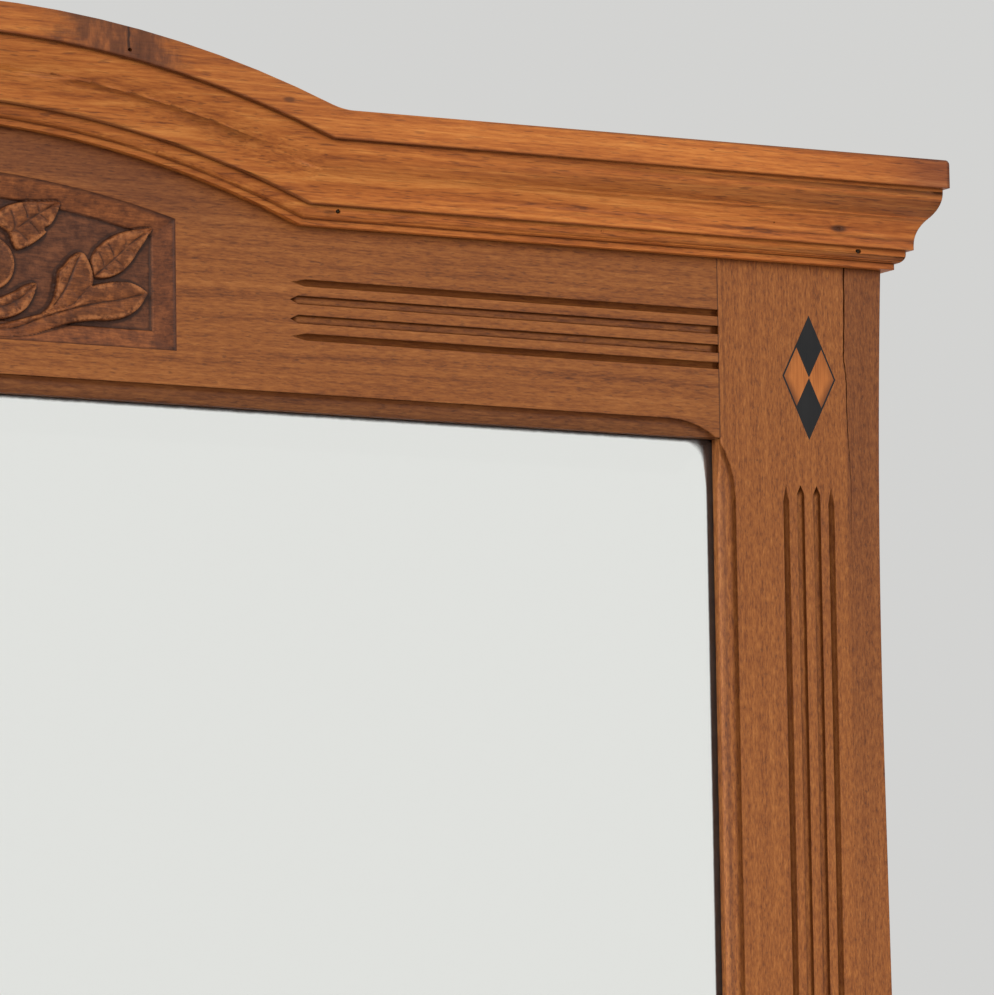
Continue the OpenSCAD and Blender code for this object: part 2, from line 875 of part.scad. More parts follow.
top_rail();
bottom_rail();
right_stile();
left_stile();
cornice_front();
cornice_return();  // cornice_return_right
mirror([1, 0, 0]) cornice_return();  // cornice_return_left
cornice_nails();
color(ebony) inlay_piece(0, 1);  // inlay_right_top
color(ebony) inlay_piece(0, -1);  // inlay_right_bottom
color(wood_light) inlay_piece(-1, 0);  // inlay_right_inner
color(wood_light) inlay_piece(1, 0);  // inlay_right_outer
color(ebony) inlay_ring();  // inlay_right_line
mirror([1, 0, 0]) color(ebony) inlay_piece(0, 1);  // inlay_left_top
mirror([1, 0, 0]) color(ebony) inlay_piece(0, -1);  // inlay_left_bottom
mirror([1, 0, 0]) color(wood_light) inlay_piece(-1, 0);  // inlay_left_inner
mirror([1, 0, 0]) color(wood_light) inlay_piece(1, 0);  // inlay_left_outer
mirror([1, 0, 0]) color(ebony) inlay_ring();  // inlay_left_line
mirror_glass();
glass_blocks();
backboard(0);  // backboard_1
backboard(1);  // backboard_2
backboard(2);  // backboard_3
backboard(3);  // backboard_4
backboard(4);  // backboard_5
backboard_nails();
strap();  // hanger_strap_right
mirror([1, 0, 0]) strap();  // hanger_strap_left
ring();  // hanger_ring_right
mirror([1, 0, 0]) ring();  // hanger_ring_left
hanger_screws();
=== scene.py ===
# %% [markdown]
# # A bevelled wall mirror in an old carved frame
# This notebook dresses a finished technical model of a large mirror in wood, glass and brass.
# The technical model gives every size. Blender adds the carving, the ground glass, the split
# in one stile, and above all the look of waxed hardwood that has been knocked about for a century.

# %% Load the technical model
import math
import bpy
import numpy as np
from mathutils import Matrix, Vector


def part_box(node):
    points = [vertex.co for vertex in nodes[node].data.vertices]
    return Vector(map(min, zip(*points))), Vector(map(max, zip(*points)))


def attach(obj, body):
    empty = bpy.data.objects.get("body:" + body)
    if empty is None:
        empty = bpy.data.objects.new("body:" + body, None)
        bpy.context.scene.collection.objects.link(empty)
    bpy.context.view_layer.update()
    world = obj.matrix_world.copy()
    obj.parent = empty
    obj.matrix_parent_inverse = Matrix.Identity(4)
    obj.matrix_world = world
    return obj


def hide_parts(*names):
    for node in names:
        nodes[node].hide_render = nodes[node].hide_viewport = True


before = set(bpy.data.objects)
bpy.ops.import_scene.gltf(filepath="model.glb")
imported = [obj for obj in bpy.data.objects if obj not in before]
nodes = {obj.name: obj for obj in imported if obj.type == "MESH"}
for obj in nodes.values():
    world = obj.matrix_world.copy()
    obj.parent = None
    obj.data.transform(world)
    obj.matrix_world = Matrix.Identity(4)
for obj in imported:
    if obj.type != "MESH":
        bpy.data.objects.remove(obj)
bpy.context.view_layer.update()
MM = 0.001
stile_low, stile_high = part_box("right_stile")
glass_low, glass_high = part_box("mirror_glass")
cornice_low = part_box("cornice_front")[0]
SIGHT_X = stile_low.x
SIGHT_TOP, SIGHT_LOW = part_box("top_rail")[0].z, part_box("bottom_rail")[1].z
print("mirror opening: half width", round(SIGHT_X / MM, 1), "from", round(SIGHT_LOW / MM, 1),
      "to", round(SIGHT_TOP / MM, 1), "mm")

# %% [markdown]
# ## Where the camera stands
# The picture was taken with a long lens from the left and from below, so that upright lines
# stay nearly upright and the cornice shows its underside. A long lens is a small angle of view:
# 326 mm on a 36 mm sensor, almost five metres away.

# %% Camera
YAW, PITCH, ROLL = math.radians(30), math.radians(7.614), -0.015977
TARGET, DISTANCE = Vector((0.3447, 0, 1.0586)), 4.9497
SENSOR_WIDE, FOCAL_PIXELS, PICTURE_PIXELS = 36, 9000, 994
forward = Vector((math.sin(YAW) * math.cos(PITCH), math.cos(YAW) * math.cos(PITCH), math.sin(PITCH)))
level = Vector((math.cos(YAW), -math.sin(YAW), 0))
upward = level.cross(forward)
right = level * math.cos(ROLL) + upward * math.sin(ROLL)
top = upward * math.cos(ROLL) - level * math.sin(ROLL)
lens = bpy.data.cameras.new("long lens")
lens.sensor_fit = "HORIZONTAL"
lens.sensor_width = SENSOR_WIDE
lens.lens = FOCAL_PIXELS / PICTURE_PIXELS * SENSOR_WIDE
lens.clip_end = 60
camera = bpy.data.objects.new("camera", lens)
scene = bpy.context.scene
scene.collection.objects.link(camera)
turn = Matrix((right, top, -forward)).transposed().to_4x4()
camera.matrix_world = Matrix.Translation(TARGET - forward * DISTANCE) @ turn
scene.camera = camera
print("camera at", [round(v, 3) for v in camera.location])

# %% [markdown]
# ## Sums that build node trees
# A material is a small tree of nodes. Linking every node by hand is slow to read, so the value
# that leaves a node is wrapped in a Wire, which can be added, multiplied and so on like a number.
# Each such sum puts one more node into the tree that is open. One tree is built at a time.

# %% Wires
class Wire:
    """A value in the open node tree that can be reckoned with like a number."""
    tree = material = None

    def __init__(self, socket):
        self.socket = socket

    __add__ = __radd__ = lambda self, other: reckon("ADD", self, other)
    __mul__ = __rmul__ = lambda self, other: reckon("MULTIPLY", self, other)
    __sub__ = lambda self, other: reckon("SUBTRACT", self, other)
    __rsub__ = lambda self, other: reckon("SUBTRACT", other, self)
    __truediv__ = lambda self, other: reckon("DIVIDE", self, other)
    __abs__ = lambda self: reckon("ABSOLUTE", self)


def add_node(kind, inputs=None, **settings):
    """Adds a node to the open tree. Each input is a plain value or a Wire."""
    made = Wire.tree.nodes.new("ShaderNode" + kind)
    for key, value in settings.items():
        setattr(made, key, value)
    for key, value in (inputs or {}).items():
        if isinstance(value, Wire):
            Wire.tree.links.new(value.socket, made.inputs[key])
        else:
            made.inputs[key].default_value = value
    return made


def put(kind, inputs=None, out=0, **settings):
    """Adds a node and gives the Wire of one of its outputs."""
    return Wire(add_node(kind, inputs, **settings).outputs[out])


def reckon(how, *values):
    return put("Math", dict(enumerate(values)), operation=how)


def highest(a, b):
    return reckon("MAXIMUM", a, b)


def lowest(a, b):
    return reckon("MINIMUM", a, b)


# %% [markdown]
# A few more helpers name what every finish needs: a soft step, noise, a stain that covers, a
# tint that lets the wood show through, and relief.

# %% Shapes and tones
def in_object():
    """A place in the object's own coordinates."""
    return put("TexCoord", out="Object")


def split(place):
    """The X, Y and Z of a place."""
    return [Wire(part) for part in add_node("SeparateXYZ", {0: place}).outputs]


def length(x, z):
    flat = put("CombineXYZ", {0: x, 2: z})
    return put("VectorMath", {0: flat}, "Value", operation="LENGTH")


def ease(value, low, high, start=0.0, end=1.0):
    """A soft step: start below low, end above high."""
    return put("MapRange", {"Value": value, "From Min": low, "From Max": high,
                            "To Min": start, "To Max": end}, interpolation_type="SMOOTHSTEP")


def noise(place, stretch, detail=2.0, rough=0.5):
    """Noise in space, stretched by one factor, or by one for each axis."""
    factors = stretch if isinstance(stretch, tuple) else (stretch,) * 3
    scaled = put("VectorMath", {0: place, 1: factors}, operation="MULTIPLY")
    return put("TexNoise", {"Vector": scaled, "Scale": 1.0, "Detail": detail, "Roughness": rough},
               "Fac", noise_dimensions="3D")


def layers(across, detail, rough):
    """Noise along one line only, as the rings of a board are."""
    return put("TexNoise", {"W": across, "Scale": 1.0, "Detail": detail, "Roughness": rough},
               "Fac", noise_dimensions="1D")


def ramp(value, stops):
    """A colour ramp from a list of (place, tone)."""
    made = add_node("ValToRGB", {0: value})
    band = made.color_ramp.elements
    while len(band) < len(stops):
        band.new(0.5)
    for element, (place, tone) in zip(band, stops):
        element.position = place
        element.color = (*tone, 1)
    return Wire(made.outputs[0])


def blend(share, a, b, how="MIX"):
    return put("Mix", {0: share, 6: a, 7: b}, 2, data_type="RGBA", blend_type=how)


def stain(colour, share, tone):
    """Covers a share of the colour with a tone."""
    return blend(share, colour, (*tone, 1))


def tint(colour, share, tone):
    """Multiplies a share of the colour by a tone."""
    return blend(share, colour, blend(1.0, colour, (*tone, 1), "MULTIPLY"))


def bump(height, distance, strength, **normal):
    return put("Bump", {"Height": height, "Distance": distance, "Strength": strength, **normal})


def open_material(name):
    """Starts a material. Its tree is the open one from now on."""
    Wire.material = bpy.data.materials.new(name)
    Wire.material.use_nodes = True
    Wire.tree = Wire.material.node_tree
    Wire.tree.nodes.clear()


def finish_material(colour, roughness, relief=None, **extra):
    """Ends the open tree with a surface of this colour, gloss and relief. Gives the material."""
    inputs = {"Base Color": colour, "Roughness": roughness}
    inputs.update((key.replace("_", " "), value) for key, value in extra.items())
    if relief is not None:
        inputs["Normal"] = relief
    add_node("OutputMaterial", {0: put("BsdfPrincipled", inputs)})
    return Wire.material


# %% [markdown]
# ## Light
# The room was bright and even, with more light from the upper left. Three large soft lamps do
# that: a key, a fill and one for the back. The world gives the rest. Its colour for the camera
# is the grey wall of the room, and what glass and metal reflect is a little brighter.

# %% Lamps and world
def lamp(name, place, aim, size, watts, colour):
    """A square soft lamp that faces a point."""
    light = bpy.data.lights.new(name, "AREA")
    light.shape = "SQUARE"
    light.size = size
    light.energy = watts
    light.color = colour
    thing = bpy.data.objects.new(name, light)
    scene.collection.objects.link(thing)
    thing.location = place
    thing.rotation_euler = (Vector(aim) - Vector(place)).to_track_quat("-Z", "Y").to_euler()
    thing.visible_camera = False
    thing.visible_transmission = False


lamp("key lamp", (-2.3, -2.9, 2.2), (0.1, 0, 1.0), 1.8, 66, (1, 0.98, 0.95))
lamp("fill lamp", (2.3, -1.9, 3.2), (0, 0, 0.9), 1.6, 16, (0.97, 0.98, 1))
lamp("back lamp", (0.9, 2.9, 2.4), (0, 0, 0.8), 1.8, 55, (1, 1, 1))

AMBIENT, GLOW, WALL = (0.58, 0.58, 0.58, 1), (0.782, 0.790, 0.769, 1), (0.651, 0.651, 0.640, 1)
scene.view_settings.view_transform = "Standard"
scene.world = bpy.data.worlds.new("bright room")
scene.world.use_nodes = True
Wire.tree = scene.world.node_tree
Wire.tree.nodes.clear()
ambient, glow, wall = (put("Background", {"Color": tone}) for tone in (AMBIENT, GLOW, WALL))
reflected = highest(put("LightPath", out="Is Glossy Ray"), put("LightPath", out="Is Transmission Ray"))
unseen = put("MixShader", {0: reflected, 1: ambient, 2: glow})
seen = put("LightPath", out="Is Camera Ray")
add_node("OutputWorld", {0: put("MixShader", {0: seen, 1: unseen, 2: wall})})
print("lamps:", len(bpy.data.lights), "world nodes:", len(Wire.tree.nodes))

# %% [markdown]
# ## Waxed hardwood
# Timber is a solid thing: its rings, fibres and pores run through the board, and a moulding or a
# groove only lays them open. So the pattern is worked out in space from Object coordinates and
# never painted on a face. Everything is stretched along the grain, which runs along X in the
# rails and the cornice, along Z in the stiles, and along Y in the two short returns.

# %% Timber
def along_grain(axis, shift):
    """The parts of Object coordinates, and the same turned so that the grain runs along the
    first one, shifted so that no two boards are alike."""
    parts = split(in_object())
    order = {"X": (0, 1, 2), "Y": (1, 0, 2), "Z": (2, 1, 0)}[axis]
    turned = put("CombineXYZ", {i: parts[k] for i, k in enumerate(order)})
    return parts, put("VectorMath", {0: turned, 1: shift}, operation="ADD")


def timber(grain, ring_pitch, knots=(), short=1.0):
    """Rings, streaks, fibres and pores of a board, each about from 0 to 1."""
    parts = split(grain)
    across = parts[1] * 0.7 + parts[2] + noise(grain, (2.6, 9, 9)) * 0.03
    for middle, reach in knots:
        away = put("VectorMath", {0: grain, 1: middle}, "Value", operation="DISTANCE")
        across = across + ease(away, reach, 0.0, 0.0, reach * 0.6)
    rings = layers(across * (1 / ring_pitch), 3.0, 0.6)
    streaks = noise(grain, (6, 250, 250), 4.0, 0.66)
    fleck = noise(grain, (50 * short, 430, 430), 2.0, 0.6)
    fibre = noise(grain, (110 * short, 900, 900), 3.0, 0.7) + (fleck - 0.5) * 0.45
    pores = ease(noise(grain, (150 * short, 1100, 1100), 1.0), 0.58, 0.70)
    return rings, streaks, fibre, pores


# %% [markdown]
# On top of the timber comes its age: dark wax and dust in the grooves and inner corners, with
# painted shade there too, and paler, polished wood on every edge that hands and cloths have
# rubbed. Edges and corners are found by the renderer itself, grooves by their place.

# %% Wear, wax and painted shade
def edge_wear(reach):
    """The normal softened at edges, and 1 on outer edges, where it leans away from the real one."""
    soft = put("Bevel", {"Radius": reach}, samples=4)
    true = put("NewGeometry", out="Normal")
    lean = put("VectorMath", {0: soft, 1: true}, "Value", operation="DOT_PRODUCT")
    return soft, ease(lean, 0.995, 0.90)


def corner_dirt_and_shade(reach):
    """1 in inner corners, 0 in the open. It is found by occlusion, so it paints shade as well as dirt."""
    open_sky = put("AmbientOcclusion", {"Distance": reach}, "AO", samples=6)
    return ease(open_sky, 0.82, 0.35)


def groove_wax_and_shade(parts, across, along):
    """Dark wax in the four grooves of a band: most in the outer ones, in the corners of the inner ones
    and in their ends, where a groove runs into the stile with painted shade as well. across is (axis,
    middle of the band), along is the two ends as (axis, place)."""
    axis, middle = across
    side = abs(abs(parts[axis]) - middle)
    deep = ease(parts[1], 0.0002, 0.0010) * ease(parts[1], 0.0030, 0.0024)
    here = deep * ease(side, 0.0190, 0.0180)
    outer = ease(side, 0.0095, 0.0108, 0.0, 0.66)
    inner = ease(abs(side - 0.0053), 0.0010, 0.0021, 0.08, 0.78) * ease(side, 0.0095, 0.0085)
    share = highest(outer, inner)
    # The ends of the grooves are darkened: wax, and painted shade where a groove runs into the stile.
    for axis, end in along:
        share = highest(share, ease(abs(abs(parts[axis]) - end), 0.0065, 0.0025, 0.0, 0.92))
    return here * share


def quirk_wax(parts):
    """Dark wax in the little step along the outer edge of the sight moulding, found by its depth."""
    return ease(parts[1], 0.0008, 0.0011) * ease(parts[1], 0.00185, 0.00125)


# %% [markdown]
# One recipe serves all the timbers of the frame. It starts from the mixed pattern, darkens the
# pores, adds the marks of its own board, leaves the back unpolished, rubs the edges, and lays the
# wax, dust and painted shade on last. Where they lie thick the surface is dull.

# %% The wood recipe
# The dark colour of old wax and dust, which also paints shade in corners and grooves.
OLD_WAX_AND_SHADE, RUBBED_TINT, BARE_TINT = (0.062, 0.015, 0.003), (1.45, 1.42, 1.40), (0.60, 0.74, 1.05)
BACK_Y = stile_high.y


def wood(name, axis, shift, stops, pore_tone, ring_pitch=0.006, wear=0.35,
         weights=(0.40, 0.65, 0.85), bands=(), fades=(), knots=(), marks=(), short=1.2):
    """weights: how much rings, streaks and fibres show. bands: grooves. fades: soft steps of
    brightness (axis, from, to, first factor, last factor). marks: functions that add a mark."""
    open_material(name)
    parts, grain = along_grain(axis, shift)
    shifted = [(tuple(p + s for p, s in zip(spot, shift)), reach) for spot, reach in knots]
    rings, streaks, fibre, pores = timber(grain, ring_pitch, shifted, short)
    mix = 0.5
    for layer, weight in zip((rings, streaks, fibre), weights):
        mix = mix + (layer - 0.5) * weight
    colour = stain(ramp(mix, stops), pores * ease(rings, 0.62, 0.35, 0.25, 0.55), pore_tone)
    for along, start, end, first, last in fades:
        colour = blend(1.0, colour, ease(abs(parts[along]), start, end, first, last), "MULTIPLY")
    for mark in marks:
        colour = mark(parts, colour)
    bare = ease(parts[1], BACK_Y - 0.0012, BACK_Y - 0.0004) * ease(streaks, 0.25, 0.75, 0.60, 1.0)
    colour = tint(colour, bare, BARE_TINT)
    soft, rubbed = edge_wear(0.0009)
    colour = tint(colour, rubbed * streaks * (wear * 2), RUBBED_TINT)
    # Wax and dust, and painted shade, in inner corners; less of it on the inner wall of the lip.
    dirt_and_shade = corner_dirt_and_shade(0.006) * 0.85
    if bands:
        less_dirt_and_shade = ease(abs(parts[0]) - SIGHT_X, 0.0004, 0.0016, 0.25, 1)
        dirt_and_shade = dirt_and_shade * highest(less_dirt_and_shade, ease(parts[1], 0.003, 0.002))
        dirt_and_shade = highest(dirt_and_shade, quirk_wax(parts) * 0.62)
    for across, along in bands:
        dirt_and_shade = highest(dirt_and_shade, groove_wax_and_shade(parts, across, along))
    relief = bump(pores * -0.8 + fibre, 0.00025, 0.5, Normal=soft)
    return finish_material(stain(colour, dirt_and_shade, OLD_WAX_AND_SHADE), fibre * 0.22 + 0.40, relief,
                           Specular_IOR_Level=ease(dirt_and_shade, 0.1, 0.8, 0.28, 0.04))


# %% [markdown]
# ## Marks of the rails and stiles
# Each mark is a small function that takes the parts of a place and the colour so far, and gives
# the new colour. These belong to the flat boards: seams, dull bands, painted light on a lip,
# painted shadow with darker wood beside the carving, and wood that has darkened beyond the split.

# %% Marks on the boards
ARC_MID, ARC_LOW = 659.0, 585.8


def radial(parts):
    """Distance from the centre of the arch."""
    return length(parts[0], parts[2] - ARC_MID * MM)


def dark_joint(parts, colour):
    """The seam between a rail and its stile, and the dull band of the rail's sight moulding."""
    seam = ease(SIGHT_X - abs(parts[0]), 0.0011, 0.0003)
    colour = stain(colour, seam * 0.75, (0.050, 0.016, 0.006))
    dull = ease(parts[1], 0.0011, 0.0013) * ease(parts[2], SIGHT_TOP + 0.0100, SIGHT_TOP + 0.0092)
    return tint(colour, dull, (0.72, 0.74, 0.88))


def spandrel_shade_and_dark_wood(parts, colour):
    """Painted shadow under the arch moulding, with darker wood, between panel and arch."""
    near = ease(radial(parts), 0.554, 0.568) * ease(parts[1], 0.010, 0.004)
    return tint(colour, near * ease(abs(parts[0]), 0.215, 0.120), (0.66, 0.64, 0.78))


def painted_lit_lip(parts, colour):
    """Along the sight edge a stile's lip is lightened, painted light on its inner wall, with a darker
    line where its moulding starts.
    """
    out = abs(parts[0]) - SIGHT_X
    lip = ease(parts[2], SIGHT_TOP + 0.0004, SIGHT_TOP) * ease(out, 0.0018, 0.0008)
    # Painted light on the inner wall of the lip.
    colour = tint(colour, lip, (1.28, 1.36, 1.60))
    dull = ease(out, 0.0019, 0.0026) * ease(out, 0.0044, 0.0034)
    return tint(colour, dull * 0.6, (0.62, 0.58, 0.62))


def dark_strip(parts, colour):
    """Beyond the split the stile is darker, most of all near the cornice."""
    share = ease(parts[0], 0.5712, 0.5735) * ease(parts[2], 0.80, 1.12, 0.25, 1.0)
    return tint(colour, share, (0.72, 0.70, 0.78))


# %% [markdown]
# ## Marks of the cornice
# The cornice is the part that is touched and dusted most. Wax has gathered in the corners of its
# moulding, its knocked end is tired and brown, there are soft stains, and on the arch there is a
# dark patch with a short crack.

# %% Marks on the cornice
# height over the cornice's lower edge and half width in mm, and strength, of each line of wax
WAX_LINES = [(3.3, 0.9, 0.45), (10.6, 0.9, 0.60), (44.7, 1.1, 0.60)]
PATCH_X, CRACK_X, CRACK_LOW = 0.097, 0.1035, 1.284


def moulding_lines(parts, colour):
    """Thin lines of old wax in the corners of the cornice, grime on top, and the tired end."""
    level = lowest(parts[2] - cornice_low.z, radial(parts) - ARC_LOW * MM)
    along = abs(parts[0])
    fading = ease(along, 0.20, 0.50, 1.0, 0.35)
    for height, half, share in WAX_LINES:
        line = ease(abs(level - height * MM), half * MM, half * 0.35 * MM) * share
        colour = stain(colour, line * fading, (0.120, 0.030, 0.007))
    grime = ease(level, 0.0590, 0.0603) * ease(fading, 0.9, 0.4, 0.15, 0.6)
    colour = stain(colour, grime, (0.090, 0.040, 0.020))
    front = ease(parts[1], -0.0262, -0.0285)
    for start, end, share, tone in ((0.50, 0.615, 0.7, (0.74, 0.68, 0.70)),
                                    (0.575, 0.620, front * 0.9, (0.60, 0.58, 0.90)),
                                    (0.6238, 0.6256, front * 0.7, (0.35, 0.33, 0.40))):
        colour = tint(colour, ease(along, start, end) * share, tone)
    return colour


def smudge(x, z, wide, high, share):
    """A mark function for a soft brown stain, all sizes in mm."""
    def mark(parts, colour):
        away = length((parts[0] - x * MM) * (1 / wide), (parts[2] - z * MM) * (1 / high))
        return stain(colour, ease(away, 1.0 * MM, 0.35 * MM) * share, (0.085, 0.026, 0.009))
    return mark


def knotty_patch(parts, colour):
    """A dark reddish patch on the fascia of the arch, with a short upright crack in it."""
    reach = noise(in_object(), (45, 45, 90), 4.0, 0.7) * 0.05 + 0.018
    share = ease(reach - abs(parts[0] - PATCH_X), -0.006, 0.020)
    front = ease(parts[1], -0.0262, -0.0280)
    figure = noise(in_object(), (85, 85, 30), 4.0, 0.75)
    dark = ramp(figure, [(0.34, (0.062, 0.020, 0.010)), (0.50, (0.125, 0.040, 0.017)),
                         (0.68, (0.340, 0.105, 0.030))])
    colour = blend(share * front * 0.88, colour, dark)
    gap = abs(parts[0] + (figure - 0.5) * 0.006 - CRACK_X)
    crack = ease(gap, 0.0010, 0.0003) * ease(parts[2], CRACK_LOW, CRACK_LOW + 0.003)
    return stain(colour, crack * front * 0.8, (0.020, 0.008, 0.005))


# %% [markdown]
# ## The boards of this frame
# The flat boards are a plain brown hardwood, the cornice is a livelier orange one. The bands say
# where the reeds lie, worked out from the mirror opening.

# %% Rails, stiles and cornice
BROWN = [(0.20, (0.118, 0.033, 0.009)), (0.42, (0.250, 0.076, 0.018)),
         (0.58, (0.332, 0.109, 0.025)), (0.82, (0.45, 0.166, 0.043))]
ORANGE = [(0.20, (0.240, 0.058, 0.010)), (0.42, (0.440, 0.122, 0.021)),
          (0.58, (0.560, 0.174, 0.032)), (0.82, (0.72, 0.270, 0.060))]
RAIL_PORES, STILE_PORES = (0.075, 0.025, 0.011), (0.085, 0.029, 0.012)
CORNICE_PORES = (0.075, 0.022, 0.009)
REED_OUT, REED_LONG, REED_INSET = 0.54675, 0.273, 0.024
reed_level = SIGHT_TOP + 0.05545
low_reed_level = SIGHT_LOW / 2 - 0.0047
ends_of_rail = ((0, SIGHT_X - REED_LONG), (0, SIGHT_X))
ends_of_stile = ((2, SIGHT_TOP - REED_INSET), (2, SIGHT_LOW + REED_INSET))
rail_wood = wood("rail wood", "X", (0.3, 0.1, 0.7), BROWN, RAIL_PORES,
                 bands=[((2, reed_level), ends_of_rail)], marks=[spandrel_shade_and_dark_wood, dark_joint])
low_rail_wood = wood("low rail wood", "X", (2.3, 1.1, 0.2), BROWN, RAIL_PORES,
                     bands=[((2, low_reed_level), ends_of_rail)])
stile_look = {"weights": (0.18, 0.34, 1.05), "short": 2.0, "bands": [((0, REED_OUT), ends_of_stile)],
              "fades": [(2, 0.55, 1.20, 1.30, 1.08)]}
right_stile_wood = wood("right stile wood", "Z", (1.7, 0.2, 0.9), BROWN, STILE_PORES,
                        marks=[dark_strip, painted_lit_lip], **stile_look)
left_stile_wood = wood("left stile wood", "Z", (4.1, 0.6, 2.9), BROWN, STILE_PORES,
                       marks=[painted_lit_lip], **stile_look)
cornice_look = {"ring_pitch": 0.005, "wear": 0.5, "weights": (0.50, 0.75, 0.70), "short": 0.6}
cornice_wood = wood("cornice wood", "X", (5.5, 0.4, 1.3), ORANGE, CORNICE_PORES,
                    fades=[(0, 0.16, 0.30, 0.86, 1.04), (0, 0.38, 0.48, 1.0, 1.08)],
                    knots=[((0.561, -0.02, 1.221), 0.011)],
                    marks=[knotty_patch, moulding_lines, smudge(201.5, 1265.1, 5.5, 2.2, 0.75),
                           smudge(560.9, 1221.0, 7.0, 2.9, 0.9), smudge(236, 1208.5, 5, 1.6, 0.5)],
                    **cornice_look)
return_wood = wood("return wood", "Y", (1.5, 3.4, 1.3), ORANGE, CORNICE_PORES,
                   marks=[moulding_lines], **cornice_look)
print("grooves of the rails at heights", round(reed_level / MM, 1), "and",
      round(low_reed_level / MM, 1), "mm")


def dress(thing, *materials):
    """Gives an object these materials and no others."""
    thing.data.materials.clear()
    for one in materials:
        thing.data.materials.append(one)


dress(nodes["bottom_rail"], low_rail_wood)
dress(nodes["left_stile"], left_stile_wood)
dress(nodes["cornice_return_left"], return_wood)

# %% [markdown]
# ## Changing the shape of a finished part
# The technical model is never altered. Where this scene needs more shape than it has, the part
# is copied, its loose triangles are merged into one skin, a cutter takes wood away, and the copy
# stands in for the part.

# %% Copy and cut
def mode(name):
    bpy.ops.object.mode_set(mode=name)


def clear_selection():
    if bpy.context.object and bpy.context.object.mode != "OBJECT":
        mode("OBJECT")
    bpy.ops.object.select_all(action="DESELECT")


def take(thing):
    """Makes an object the only one selected, and the active one."""
    clear_selection()
    thing.select_set(True)
    bpy.context.view_layer.objects.active = thing


def merged_copy(node, name, near=0.002):
    """A copy of a technical part with its triangles joined, and points closer than near mm."""
    take(nodes[node])
    bpy.ops.object.duplicate()
    made = bpy.context.object
    made.name = made.data.name = name
    mode("EDIT")
    bpy.ops.mesh.select_all(action="SELECT")
    bpy.ops.mesh.remove_doubles(threshold=near * MM)
    mode("OBJECT")
    return made


def settle(thing, sharp=None):
    """Puts an object's place into its mesh and shades it flat. With an angle, slanting faces
    are smooth across edges below it."""
    take(thing)
    bpy.ops.object.transform_apply()
    if sharp is None:
        bpy.ops.object.shade_flat()
        return
    bpy.ops.object.shade_smooth_by_angle(angle=math.radians(sharp))
    for face in thing.data.polygons:
        if max(abs(part) for part in face.normal) > 0.9999:
            face.use_smooth = False


def cut_away(thing, cutter):
    """Subtracts the cutter and deletes it."""
    take(thing)
    cut = thing.modifiers.new("cut", "BOOLEAN")
    cut.operation = "DIFFERENCE"
    cut.solver = "EXACT"
    cut.object = cutter
    bpy.ops.object.modifier_apply(modifier=cut.name)
    bpy.data.objects.remove(cutter, do_unlink=True)


# %% [markdown]
# Most of the cutters, and the carved panel too, begin as a flat grid. Its points are moved by a
# formula, and its open rim is extruded back to a plane and closed, which makes a solid block.

# %% Sheets that become blocks
def grid(columns, rows):
    """A flat sheet with so many faces, from -0.5 to 0.5 in X and Y."""
    clear_selection()
    bpy.ops.mesh.primitive_grid_add(x_subdivisions=columns, y_subdivisions=rows, size=1)
    return bpy.context.object


def close_behind(thing, back):
    """Extrudes the open rim of a sheet back to a plane and closes it."""
    take(thing)
    mode("EDIT")
    bpy.ops.mesh.select_mode(type="EDGE")
    bpy.ops.mesh.select_all(action="DESELECT")
    bpy.ops.mesh.select_non_manifold()
    bpy.ops.mesh.extrude_edges_move()
    mode("OBJECT")
    for point in thing.data.vertices:
        if point.select:
            point.co.y = back * MM
    mode("EDIT")
    bpy.ops.mesh.edge_face_add()
    bpy.ops.mesh.select_all(action="SELECT")
    bpy.ops.mesh.normals_make_consistent(inside=False)
    mode("OBJECT")


def bent_block(columns, rows, bend, back):
    """A block whose front is a grid. bend takes the place of a point across the grid and its
    row, and gives x, y and z in mm."""
    made = grid(columns, rows)
    for point in made.data.vertices:
        row = int(round((point.co.y + 0.5) * rows))
        point.co = Vector(bend(point.co.x, row)) * MM
    close_behind(made, back)
    return made


# %% [markdown]
# ## The carved panel
# A carver first sinks the ground with gouges, leaves a sloping border, and then models what was
# left standing: round fruits in a row with leaves on both sides. Such a surface has no edges to
# extrude, so a fine grid is laid over the panel and each of its points is pushed to the depth
# that a formula gives, as a chisel would. Each leaf is an outline of a few points and a midrib.

# %% Leaves of the spray
PANEL_HALF, PANEL_LOW = 146.5, 1128.0
ARC_RADIUS = 560.8
GROUND, LIP, SLOPE_END = 6.0, 0.9, 4.4
BORDER, LOW_BORDER = 12.0, 10.5
FRUITS = [(0.0, 1171.0), (36.1, 1169.5)]
FRUIT_R = 14.8
BASE = 1058.6
VEIN_PITCH = 10.5
